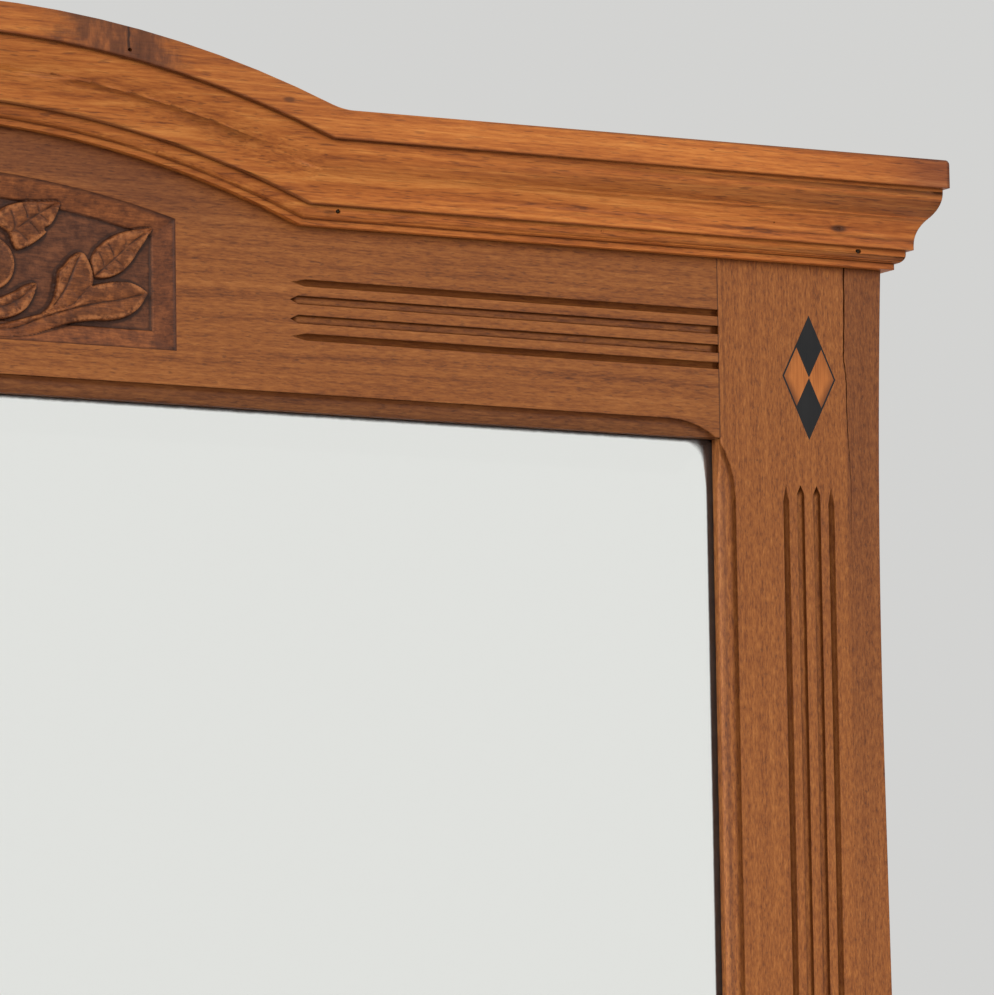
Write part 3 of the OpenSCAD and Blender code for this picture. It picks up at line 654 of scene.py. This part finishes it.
# each leaf: outline, midrib, depth of its root and of its tip, depth of its side veins
LEAVES = {
    "crown": (
        [(-8, 130), (0, 127.5), (8, 130), (11, 135), (9, 142), (4, 147), (0, 149.5),
         (-4, 147), (-9, 142), (-11, 135)],
        [(0, 129), (0, 148.5)], 2.6, 1.6, 0.5),
    "upper": (
        [(40, 133), (42, 140), (49, 144), (58, 146), (68, 146.5), (78, 147), (76.5, 140.5),
         (73, 134), (69, 131.5), (70, 129), (64, 124), (58, 120.5), (52.5, 119), (49, 123),
         (47, 128)],
        [(45, 126), (54, 132), (65, 139.5), (77, 146.5)], 2.6, 1.1, 0.95),
    "right": (
        [(134, 136), (126, 135.5), (117, 133.5), (109, 130), (101, 124), (97, 118), (97, 112),
         (99, 107), (107, 107), (116, 111), (122, 117), (126, 123), (130.5, 129.5)],
        [(99.5, 108), (111, 118), (121, 127), (133.5, 135.5)], 3.4, 1.6, 0.95),
    "folded": (
        [(91, 120.5), (85, 118), (80, 112.5), (76.5, 109), (75.5, 102), (73.5, 94), (70, 88.5),
         (66, 85.5), (75, 86.5), (84, 88.5), (91, 93), (97, 100), (98, 108), (95, 116)],
        [(89.5, 118.5), (85.5, 110), (81, 100), (74, 90)], 1.5, 2.6, 0.4),
    "sweeping": (
        [(91, 97), (96, 102), (104, 104.5), (114, 106), (122, 105.5), (130.5, 101),
         (129, 96.5), (125, 91), (118, 86.5), (108, 84), (96, 83), (83, 80.5), (71, 76.5),
         (61, 73.5), (51, 72), (40, 71.5), (20, 72), (-6, 72.5), (-6, 77.5), (20, 77.5),
         (40, 78), (51, 81), (61, 84), (74, 88), (84, 90.5)],
        [(-4, 75), (20, 75), (46, 75.5), (64, 82), (80, 87.5), (98, 92.5), (113, 95.5),
         (128, 99.5)], 2.9, 1.5, 0.35),
    "lower": (
        [(63.5, 102), (57, 100.5), (50, 96.5), (41, 92.5), (34, 90), (33, 84), (41, 80.5),
         (50, 82.5), (57, 86.5), (61, 92), (63, 97)],
        [(34, 86), (44, 88), (54, 93), (63, 101)], 3.2, 1.5, 0.7),
}


def flowing(points, closed, steps=8):
    """A smooth line through a few points."""
    points = np.array(points, float)
    count = len(points)
    line = []
    for i in range(count if closed else count - 1):
        near = [i + k for k in (-1, 0, 1, 2)]
        a, b, c, d = (points[k % count if closed else min(max(k, 0), count - 1)] for k in near)
        for t in np.arange(steps) / steps:
            line.append(0.5 * (2 * b + (c - a) * t + (2 * a - 5 * b + 4 * c - d) * t ** 2
                               + (3 * b - a - 3 * c + d) * t ** 3))
    if not closed:
        line.append(points[-1])
    return np.array(line)


def distance(line, x, z, closed):
    """Distance of grid points to a line, the length along the line at the nearest point, and the
    length of the whole line."""
    near = np.full(x.shape, 1e9)
    along = np.zeros(x.shape)
    run = 0.0
    ends = np.roll(line, -1, axis=0) if closed else line[1:]
    for (ax, az), (bx, bz) in zip(line, ends):
        size = max(math.hypot(bx - ax, bz - az), 1e-9)
        t = np.clip(((x - ax) * (bx - ax) + (z - az) * (bz - az)) / size ** 2, 0, 1)
        gap = np.hypot(x - ax - t * (bx - ax), z - az - t * (bz - az))
        closer = gap < near
        near = np.where(closer, gap, near)
        along = np.where(closer, run + t * size, along)
        run += size
    return near, along, run


def inside(line, x, z):
    """True where a grid point lies inside a closed line."""
    result = np.zeros(x.shape, bool)
    for (ax, az), (bx, bz) in zip(line, np.roll(line, -1, axis=0)):
        crosses = (az > z) != (bz > z)
        if az != bz:
            result ^= crosses & (x < (bx - ax) * (z - az) / (bz - az) + ax)
    return result


def soft_step(value):
    value = np.clip(value, 0, 1)
    return value * value * (3 - 2 * value)


def leaf_depth(leaf, x, z):
    """Depth of a leaf's surface, the ground's depth outside it, and a line just outside its edge."""
    outline, midrib, root, tip, vein_depth = leaf
    edge_line = flowing(outline, True)
    edge = distance(edge_line, x, z, True)[0]
    rib, along, whole = distance(flowing(midrib, False), x, z, False)
    share = rib / (rib + edge + 0.01)
    blade = root + (tip - root) * along / whole
    blade += 0.8 * (2 * share - 1) ** 2 - 0.35
    blade += 0.6 * np.exp(-(rib / 0.6) ** 2)
    # side veins lean forwards from the straight line between root and tip
    (ax, az), (bx, bz) = midrib[0], midrib[-1]
    size = math.hypot(bx - ax, bz - az)
    forth = ((x - ax) * (bx - ax) + (z - az) * (bz - az)) / size
    aside = np.abs((x - ax) * (bz - az) - (z - az) * (bx - ax)) / size
    sweep = (forth - 0.7 * aside) / VEIN_PITCH + 0.2 * np.sin(forth / 5.0 + root) + 0.012 * aside ** 1.5
    vein = np.abs(sweep - np.floor(sweep) - 0.5) * VEIN_PITCH
    crease = 0.55 * np.exp(-(vein / 0.9) ** 2) + 0.75 * (1 - vein / (VEIN_PITCH / 2)) ** 2
    blade += vein_depth * crease * soft_step(share / 0.2) * soft_step((0.95 - share) / 0.25)
    within = inside(edge_line, x, z)
    return (np.where(within, GROUND + (blade - GROUND) * soft_step(edge / 0.9), GROUND),
            np.where(within, 0.0, np.exp(-(edge / 0.75) ** 2)))


def ripple(x, z, pitch, seed):
    """Slow, uneven waves, as gouges leave them."""
    return (np.sin(x / pitch + seed) * np.sin(z / (pitch * 0.8) + 2 * seed)
            + 0.6 * np.sin((x + 0.6 * z) / (pitch * 0.55) + 3 * seed)) / 1.6


def arch_z(x):
    """Height of the panel's arched top."""
    return ARC_MID + np.sqrt(ARC_RADIUS ** 2 - x ** 2)


def border_gap(x, z):
    """How far a point lies inside the outline of the panel. The lower border is narrower, so
    there the gap is stretched to match."""
    sides = np.minimum(ARC_RADIUS - np.hypot(x, z - ARC_MID), PANEL_HALF - np.abs(x))
    return np.minimum(sides, (z - PANEL_LOW) * BORDER / LOW_BORDER)


def carving_depth(x, z):
    """Depth of the whole carved surface in millimetres, from the face of the rail."""
    u, v = np.abs(x), z - BASE
    gap = border_gap(x, z)
    border = LIP * soft_step(gap / 0.7) + (SLOPE_END - LIP) * np.clip(gap / BORDER, 0, 1)
    ground = GROUND + 0.16 * ripple(x, z, 2.3, 1.0) + 0.1 * ripple(x, z, 1.1, 4.0)
    sunk = soft_step((gap - BORDER) / 0.9)
    depth = np.where(gap < BORDER, border, ground * sunk + SLOPE_END * (1 - sunk))
    for leaf in LEAVES.values():
        blade, outline = leaf_depth(leaf, u, v)
        depth = np.minimum(depth + 0.55 * outline, blade + 0.06 * ripple(x, z, 3.1, 2.0))
    for fruit_x, fruit_z in FRUITS:
        out = np.hypot(u - fruit_x, z - fruit_z) / FRUIT_R
        dome = 0.9 + 2.6 * np.clip(out, 0, 1) ** 2.4 - 0.40 * np.exp(-((out - 0.93) / 0.04) ** 2)
        fruit = dome + (GROUND + 0.6 - dome) * soft_step((out - 0.96) / 0.06)
        depth = np.where(out < 1.05, np.minimum(fruit, np.where(out < 1.0, 99, depth)), depth)
    return depth * soft_step(gap / 0.5)


# %% [markdown]
# The grid follows the panel's arched top: each column of points is stretched between the
# straight bottom and the arc. Closed behind, it fills a pocket cut in the rail, with the grain
# of the rail running on through it.

# %% Carved panel
PITCH = 0.6
BACK = 8.5
PANEL_COLUMNS = int(2 * PANEL_HALF / PITCH)
PANEL_ROWS = int((ARC_MID + ARC_RADIUS - PANEL_LOW) / PITCH)


def carved_sheet():
    """The front of the panel, and the places of its points in mm."""
    made = grid(PANEL_COLUMNS, PANEL_ROWS)
    made.name = "carved_panel"
    flat = np.empty(len(made.data.vertices) * 3)
    made.data.vertices.foreach_get("co", flat)
    flat = flat.reshape(-1, 3)
    x = flat[:, 0] * 2 * PANEL_HALF
    z = PANEL_LOW + (flat[:, 1] + 0.5) * (arch_z(x) - PANEL_LOW)
    y = carving_depth(x, z)
    made.data.vertices.foreach_set("co", (np.stack([x, y, z], 1) * MM).ravel())
    made.data.update()
    return made, x, y, z


carved_panel, carve_x, carve_y, carve_z = carved_sheet()
print("carved panel points:", len(carve_x), "deepest:", round(float(carve_y.max()), 2), "mm")

# %% [markdown]
# The hollows are darkened, with dust and wax and with painted shade, and the tops are rubbed bare.
# How hollow a point is comes from its depth less the average depth around it, and is kept on the
# mesh as an attribute that the material reads.

# %% How hollow each point is
def smoothed(table, reach):
    """The average over a square of points, by running sums."""
    for axis in (0, 1):
        padded = np.pad(table, [(reach + 1, reach) if k == axis else (0, 0) for k in (0, 1)], "edge")
        total = np.cumsum(padded, axis=axis)
        high = np.take(total, range(2 * reach + 1, total.shape[axis]), axis=axis)
        low = np.take(total, range(0, total.shape[axis] - 2 * reach - 1), axis=axis)
        table = (high - low) / (2 * reach + 1)
    return table


def keep_on_mesh(thing, name, values):
    kept = thing.data.attributes.new(name, "FLOAT", "POINT")
    kept.data.foreach_set("value", values.astype(np.float32))


table = carve_y.reshape(-1, PANEL_COLUMNS + 1)
hollow = (table - smoothed(smoothed(table, 3), 3)).ravel()
keep_on_mesh(carved_panel, "hollow", hollow)
keep_on_mesh(carved_panel, "border", border_gap(carve_x, carve_z))
print("hollow from", round(float(hollow.min()), 2), "to", round(float(hollow.max()), 2), "mm")
close_behind(carved_panel, BACK)
settle(carved_panel, 50)

# %% [markdown]
# The pocket in the rail has the same outline. Its cutter is made as the panel was, from a grid of
# one row, so both follow the same arc point by point.

# %% Pocket in the top rail
def pocket_outline(across, row):
    x = across * 2 * PANEL_HALF
    return x, -3, arch_z(x) if row else PANEL_LOW


carved_rail = merged_copy("top_rail", "carved_top_rail")
cut_away(carved_rail, bent_block(PANEL_COLUMNS, 1, pocket_outline, BACK))
settle(carved_rail)
dress(carved_rail, rail_wood)
for piece in (carved_rail, carved_panel):
    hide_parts("top_rail")
    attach(piece, "frame")
print("faces:", len(carved_rail.data.polygons), "rail", len(carved_panel.data.polygons), "panel")

# %% [markdown]
# ## The split in the right stile
# The upper end of the right stile has a split that starts at the cornice and dies out below the
# diamond. Wood splits along its fibres, so the line is nearly straight, with small steps. A thin
# wedge with a wavy path cuts it: about 1 mm wide at the top, closing to almost nothing.

# %% Split stile
SPLIT = [(573.1, 1203), (572.3, 1165), (571.8, 1150), (573.1, 1138), (573.2, 1118), (573.9, 1100),
         (575.0, 1078), (574.6, 1050), (575.4, 1019)]
SPLIT_DEPTH = 7.0
split_path = flowing(SPLIT, False, 6)


def split_walls(across, row):
    left = 1 - row / (len(split_path) - 1)
    half = 0.46 * left + 0.03 + 0.07 * left * math.sin(row * 1.9)
    jag = 0.12 * math.sin(row * 2.7) + 0.08 * math.sin(row * 5.1)
    x, z = split_path[row]
    return x + jag + math.copysign(half, across), -2, z


split_stile = merged_copy("right_stile", "split_right_stile")
cut_away(split_stile, bent_block(1, len(split_path) - 1, split_walls, SPLIT_DEPTH))
settle(split_stile)
dress(split_stile, right_stile_wood)
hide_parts("right_stile")
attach(split_stile, "frame")
print("right stile faces:", len(split_stile.data.polygons))

# %% [markdown]
# ## Holes in the cornice
# Old nail holes, a small knot and two flaws pit the cornice. Each is a short cone driven into a
# copy of the moulding, wider along the grain than across it, because wood tears along its fibres.

# %% Pitted cornice
# each hole: across and up the cornice, how far in front of the frame, radius along and across
# the grain, all in mm
HOLES = [((560.9, 1221.0), 19.0, 2.6, 1.6), ((518.2, 1221.5), 19.0, 1.0, 0.8),
         ((490.5, 1204.9), 12.0, 1.2, 0.8), ((104.2, 1284.9), 29.0, 1.3, 1.1),
         ((241.5, 1209.2), 11.8, 2.0, 1.6), ((576.5, 1209.7), 11.8, 2.6, 1.6),
         ((408.8, 1209.7), 11.8, 1.3, 1.0)]
CONE_LONG, CONE_SUNK, CONE_TIP = 6, 1.6, 0.45


def cone_cutter(spot, out, along, across):
    clear_selection()
    bpy.ops.mesh.primitive_cone_add(
        vertices=14, radius1=along * MM, radius2=along * CONE_TIP * MM, depth=CONE_LONG * MM,
        location=Vector((spot[0], CONE_SUNK - out, spot[1])) * MM, rotation=(-math.pi / 2, 0, 0))
    made = bpy.context.object
    made.scale = (1, across / along, 1)
    bpy.ops.object.transform_apply()
    return made


pitted_cornice = merged_copy("cornice_front", "pitted_cornice", 0.06)
for hole in HOLES:
    cut_away(pitted_cornice, cone_cutter(*hole))
print("holes:", len(HOLES))

# %% [markdown]
# ## The knocked end of the cornice
# Frames are carried and stood down by their corners, so the right end of the cornice is rubbed
# short and its upper corner is round. One bent sheet, made thick, cuts the moulding and its
# return alike, as one stroke of a rasp would.

# %% Worn end
WORN, WORN_ROUND, FASCIA_TALL = 1.3, 2.6, 18.0
RASP_THICK, RASP_REACH = 6, 40
return_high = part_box("cornice_return_right")[1] / MM
rasp_turns = [0] + [math.radians(degrees) for degrees in range(0, 81, 16)]


def rasp_stroke(across, row):
    """Up the end of the fascia and round its upper corner."""
    reach = WORN_ROUND + (RASP_THICK if across > 0 else 0)
    turn = rasp_turns[row]
    x = return_high.x - WORN - WORN_ROUND + reach * math.cos(turn)
    z = return_high.z - WORN_ROUND + reach * math.sin(turn)
    return x, -RASP_REACH, z if row else z - FASCIA_TALL


worn_return = merged_copy("cornice_return_right", "worn_return_right", 0.06)
for piece, node, finish in ((pitted_cornice, "cornice_front", cornice_wood),
                            (worn_return, "cornice_return_right", return_wood)):
    cut_away(piece, bent_block(1, len(rasp_turns) - 1, rasp_stroke, RASP_REACH))
    settle(piece, 30)
    dress(piece, finish)
    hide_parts(node)
    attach(piece, "frame")
    print(piece.name, "faces:", len(piece.data.polygons))

# %% [markdown]
# ## Filled nail holes
# Only the nails beside the arch and near the ends still show as open holes. The others were
# punched in and filled with hard wax in the colour of the wood, so each gets a small round plug,
# flush with the bead, of the same material.

# %% Wax fills
BEAD_OUT, BEAD_MID, STRAIGHT_NAIL = 10.6, 8.2, 409.0
PLUG_R, PLUG_DEEP, PLUG_SUNK = 0.88, 0.55, 0.285
bead_r = ARC_LOW + BEAD_MID
filled = [(side * STRAIGHT_NAIL, cornice_low.z / MM + BEAD_MID) for side in (-1, 1)]
for degrees in (-13, 0, 13):
    turned = math.radians(degrees)
    filled.append((bead_r * math.sin(turned), ARC_MID + bead_r * math.cos(turned)))
fills = []
for x, z in filled:
    bpy.ops.mesh.primitive_cylinder_add(
        vertices=20, radius=PLUG_R * MM, depth=PLUG_DEEP * MM, rotation=(math.pi / 2, 0, 0),
        location=(x * MM, (PLUG_SUNK - BEAD_OUT) * MM, z * MM))
    fills.append(bpy.context.object)
take(fills[0])
for plug in fills:
    plug.select_set(True)
bpy.ops.object.join()
wax_fills = bpy.context.object
wax_fills.name = wax_fills.data.name = "wax_fills"
settle(wax_fills)
dress(wax_fills, cornice_wood)
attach(wax_fills, "frame")
print("filled nail holes:", len(filled))

# %% [markdown]
# ## Stained carving
# The carving was stained darker than the frame: purplish brown in the ground, with the leaves
# rubbed back to the colour of the wood along their ridges.

# %% Carving finish
CARVED_TOPS = [(0.2, (0.085, 0.024, 0.007)), (0.5, (0.165, 0.049, 0.014)), (0.8, (0.30, 0.094, 0.025))]
CARVED_GROUND = [(0.2, (0.068, 0.021, 0.009)), (0.5, (0.125, 0.041, 0.017)), (0.8, (0.195, 0.066, 0.026))]
CARVED_BORDER = [(0.2, (0.108, 0.031, 0.010)), (0.5, (0.205, 0.060, 0.017)), (0.8, (0.32, 0.100, 0.028))]


def carving_finish():
    open_material("stained carving")
    parts, grain = along_grain("X", (0.3, 0.1, 0.7))
    fibre, pores = timber(grain, 0.006)[2:]
    mottled = noise(in_object(), 130, 4.0, 0.7)
    mix = (fibre - 0.5) * 1.1 + (mottled - 0.5) * 1.5 + 0.5
    colour = blend(ease(parts[1], 0.0030, 0.0054), ramp(mix, CARVED_TOPS), ramp(mix, CARVED_GROUND))
    fruit = length(abs(parts[0]) - FRUITS[1][0] * MM, parts[2] - FRUITS[1][1] * MM)
    colour = tint(colour, ease(fruit, 0.0145, 0.0115, 0.0, 0.8), (0.66, 0.68, 0.86))
    gap = put("Attribute", out="Fac", attribute_name="border")
    hollow = put("Attribute", out="Fac", attribute_name="hollow")
    border = tint(ramp(mix, CARVED_BORDER), ease(abs(parts[0]), 0.1335, 0.1355), (0.74, 0.72, 0.80))
    colour = blend(ease(gap, 12.4, 11.6), colour, border)
    colour = stain(colour, ease(gap, 2.2, 0.3, 0.0, 0.55), (0.050, 0.020, 0.014))
    worn = ease(hollow, -0.12, -0.50) * ease(mottled, 0.40, 0.62) * ease(gap, 12.6, 13.2)
    colour = stain(colour, worn * 0.85, (0.42, 0.150, 0.048))
    # Darker in the hollows: painted shade, with some dust and wax.
    colour = stain(colour, ease(hollow, 0.10, 0.60) * 0.70, (0.030, 0.013, 0.009))
    colour = stain(colour, pores * 0.25, (0.03, 0.011, 0.006))
    return finish_material(colour, fibre * 0.2 + 0.45, bump(mottled * 0.6 + fibre, 0.0003, 0.6),
                           Specular_IOR_Level=0.26)


dress(carved_panel, carving_finish())

# %% [markdown]
# ## The bevelled glass
# A mirror is a plate of glass with silver on its back, and here the edge of the front is ground
# to a wide, shallow slope. The plate is a box whose front is inset and pulled forward. Light goes
# through the glass, meets the silver and comes out a few millimetres further on; that, and the
# black band on the silver with its painted shade, make the dark line that follows the sight edge.

# %% Glass plate
BEVEL_WIDE, BEVEL_DEEP = 0.027, 0.0025


def bevelled_glass():
    """A box as thick as the plate's edge, with its front inset and pulled forward."""
    rim = Vector((glass_low.x, glass_low.y + BEVEL_DEEP, glass_low.z))
    clear_selection()
    bpy.ops.mesh.primitive_cube_add(size=1, location=(rim + glass_high) / 2)
    made = bpy.context.object
    made.name = "bevelled_glass"
    made.scale = glass_high - rim
    bpy.ops.object.transform_apply()
    mode("EDIT")
    bpy.ops.mesh.select_mode(type="FACE")
    mode("OBJECT")
    for face in made.data.polygons:
        face.select = face.normal.y < -0.9
    mode("EDIT")
    bpy.ops.mesh.inset(thickness=BEVEL_WIDE)
    bpy.ops.transform.translate(value=(0, -BEVEL_DEEP, 0))
    mode("OBJECT")
    return made


plate = bevelled_glass()
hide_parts("mirror_glass")
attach(plate, "frame")
print("glass faces:", len(plate.data.polygons))

# %% [markdown]
# Along the edge of the plate the silver is black, in a band with long round corners: tarnish, and
# painted shade of the rebate beside the sight edge. Its inner edge is a little frayed, and softer at the
# corners.

# %% Glass and silver
TARNISH_AND_SHADE, ROUND, SIDE_MORE = 0.0072, 0.014, 0.0021
FLAT_BAND, CORNER_REACH = 0.45, (0.020, 0.008)
SILVER, AGED, BLACK = (0.955, 0.960, 0.950, 1), (0.45, 0.42, 0.36), (0.085, 0.066, 0.061)


def clear_glass():
    open_material("ground glass")
    smear = noise(in_object(), (7, 7, 9), 4.0, 0.6)
    haze = ease(smear, 0.55, 0.85, 0.0, 0.02)
    return finish_material((1, 1, 1, 1), haze, Transmission_Weight=1.0, IOR=1.5)


def sooty_edge():
    open_material("sooty edge")
    grime = noise(in_object(), 90, 4.0, 0.6)
    soot = ramp(grime, [(0.35, (0.010, 0.008, 0.006)), (0.65, (0.035, 0.026, 0.018))])
    return finish_material(soot, 0.7)


def silver_back():
    """Silver, black along the edge of the plate: tarnish, and painted shade of the rebate."""
    open_material("silvering")
    place = in_object()
    parts = split(place)
    colour = stain(SILVER, ease(noise(place, 60, 5.0, 0.7), 0.78, 0.86, 0.0, 0.5), AGED)
    middle, half = (glass_high.z + glass_low.z) / 2, (glass_high.z - glass_low.z) / 2
    aside = glass_high.x - SIDE_MORE - abs(parts[0])
    updown = (half - abs(parts[2] - middle)) * FLAT_BAND + (1 - FLAT_BAND) * TARNISH_AND_SHADE
    inward = ROUND - length(highest(ROUND - aside, 0.0), highest(ROUND - updown, 0.0))
    limit = noise(place, 240, 3.0, 0.6) * 0.0004 + (TARNISH_AND_SHADE - 0.0002)
    at_corner = ease(highest(aside, updown), *CORNER_REACH) * ease(lowest(aside, updown), *CORNER_REACH)
    # Black band: tarnish, and painted shade of the rebate along the sight edge.
    black = ease((inward - limit) / (at_corner * 0.0035 + 0.0009), 1.0, -0.2)
    return finish_material(stain(colour, black, BLACK), 0.0, Metallic=ease(black, 0.0, 1.0, 1.0, 0.1))


dress(plate, clear_glass(), silver_back(), sooty_edge())
for face in plate.data.polygons:
    behind, edge = face.normal.y > 0.9, abs(face.normal.y) < 0.1
    face.material_index = 1 if behind else 2 if edge else 0

# %% [markdown]
# ## Inlay
# The diamonds are cut from two timbers. The dark one is so dense that hardly any grain shows,
# the light one is a plain orange veneer, shaded along its lower edges where it was scorched.

# %% Inlay timbers
inlay_low, inlay_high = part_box("inlay_right_line")
inlay_mid, inlay_half = (inlay_low + inlay_high) / 2, (inlay_high - inlay_low) / 2
SCORCH_FADE = 0.009
print("inlay:", round(2 * inlay_half.x / MM, 1), "by", round(2 * inlay_half.z / MM, 1), "mm")


def plain_timber(name, stops, shift, gloss, scorched=0.0):
    open_material(name)
    parts, grain = along_grain("Z", shift)
    fibre = noise(grain, (40, 900, 900), 3.0, 0.6)
    colour = ramp(fibre * 0.5 + noise(grain, (30, 90, 90)) * 0.5, stops)
    if scorched:
        aside = abs(abs(parts[0]) - inlay_mid.x) * (1 / inlay_half.x)
        updown = abs(parts[2] - inlay_mid.z) * (1 / inlay_half.z)
        low = ease(parts[2], inlay_mid.z + SCORCH_FADE, inlay_mid.z - SCORCH_FADE, 0.35, 1.0)
        colour = stain(colour, ease(aside + updown, 0.60, 0.97) * low * scorched, (0.16, 0.045, 0.012))
    # Dust and painted shade in the corners.
    colour = stain(colour, corner_dirt_and_shade(0.004) * 0.5, (0.03, 0.012, 0.006))
    return finish_material(colour, gloss, bump(fibre, 0.0001, 0.4), Specular_IOR_Level=0.28)


ebony = plain_timber("ebony", [(0.3, (0.006, 0.006, 0.007)), (0.7, (0.015, 0.014, 0.015))],
                     (0.1, 0.2, 0.3), 0.42)
veneer = plain_timber("light veneer", [(0.3, (0.33, 0.090, 0.018)), (0.7, (0.68, 0.225, 0.050))],
                      (0.4, 0.8, 0.1), 0.5, 0.9)
for name, thing in nodes.items():
    if name.startswith("inlay_"):
        dress(thing, veneer if name.endswith(("inner", "outer")) else ebony)

# %% [markdown]
# ## Behind the frame
# Nobody polishes the back of a mirror. Its boards are thin sawn pine gone brown with age, each
# from its own plank, and the hangers are brass that has turned dull, held by steel screws.

# %% Pine, brass and steel
PINE = [(0.3, (0.30, 0.165, 0.078)), (0.5, (0.43, 0.265, 0.135)), (0.7, (0.54, 0.365, 0.205))]
BOARD_TONES = (0.90, 1.04, 0.84, 1.10, 0.95)


def old_pine(name, shift, tone=1.0, seams=()):
    """Rough softwood. seams: places along X where one board ends and dust has settled."""
    open_material(name)
    parts, grain = along_grain("Z", shift)
    across = split(grain)[2] + noise(grain, (1.5, 8, 8)) * 0.05
    fibre = noise(grain, (22, 480, 480), 3.0)
    patches = ease(noise(grain, (4, 7, 7), 4.0, 0.6), 0.45, 0.75, 0.0, 0.55)
    colour = ramp(layers(across * 110, 1.0, 0.5) * 0.55 + fibre * 0.45, PINE)
    colour = tint(stain(colour, patches, (0.20, 0.115, 0.060)), 1.0, (tone, tone * 0.985, tone * 0.96))
    # Dust and painted shade in the inner corners, and dust along the seams of the boards.
    dirt_and_shade = corner_dirt_and_shade(0.008) * 0.7
    for seam in seams:
        dirt_and_shade = highest(dirt_and_shade, ease(abs(parts[0] - seam), 0.0022, 0.0006, 0.0, 0.85))
    relief = bump(noise(grain, (420, 60, 6)) * 0.6 + fibre, 0.0004, 0.6)
    return finish_material(stain(colour, dirt_and_shade, (0.05, 0.030, 0.018)), fibre * 0.2 + 0.62, relief,
                           Specular_IOR_Level=0.25)


def old_metal(name, bright, dull, spot, scale):
    open_material(name)
    place = in_object()
    cloud = noise(place, scale, 5.0, 0.65)
    speck = noise(place, scale * 7)
    colour = stain((*bright, 1), ease(cloud, 0.42, 0.66), dull)
    colour = stain(colour, ease(speck, 0.62, 0.74, 0.0, 0.8), spot)
    colour = stain(colour, corner_dirt_and_shade(0.003) * 0.8, spot)
    return finish_material(colour, ease(cloud, 0.35, 0.7, 0.24, 0.55), bump(speck, 0.0001, 0.5),
                           Metallic=0.95)


brass = old_metal("dull brass", (0.50, 0.335, 0.125), (0.24, 0.150, 0.055), (0.08, 0.050, 0.024), 220.0)
steel = old_metal("old steel", (0.30, 0.29, 0.27), (0.16, 0.145, 0.13), (0.09, 0.045, 0.022), 160.0)
iron = old_metal("rusty iron", (0.050, 0.034, 0.020), (0.026, 0.020, 0.012), (0.012, 0.009, 0.006), 400.0)
for number, tone in enumerate(BOARD_TONES, 1):
    ends = [corner.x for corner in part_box(f"backboard_{number}")]
    dress(nodes[f"backboard_{number}"],
          old_pine(f"pine board {number}", (number * 1.7, 0.3, number * 0.9), tone, ends))
dress(nodes["glass_blocks"], old_pine("pine blocks", (0.4, 2.1, 3.3)))
for name, metal in (("hanger_strap_right", brass), ("hanger_strap_left", brass),
                    ("hanger_ring_right", brass), ("hanger_ring_left", brass),
                    ("backboard_nails", steel), ("hanger_screws", steel), ("cornice_nails", iron)):
    dress(nodes[name], metal)
print("materials:", len(bpy.data.materials))

# %% [markdown]
# ## Floor
# A plain pale floor catches the shadow of the frame in the views from above.

# %% Floor
clear_selection()
bpy.ops.mesh.primitive_plane_add(size=14, location=(0, 0, 0))
floor = bpy.context.object
floor.name = "floor"
open_material("pale floor")
dress(floor, finish_material((0.70, 0.70, 0.69, 1), 0.8))
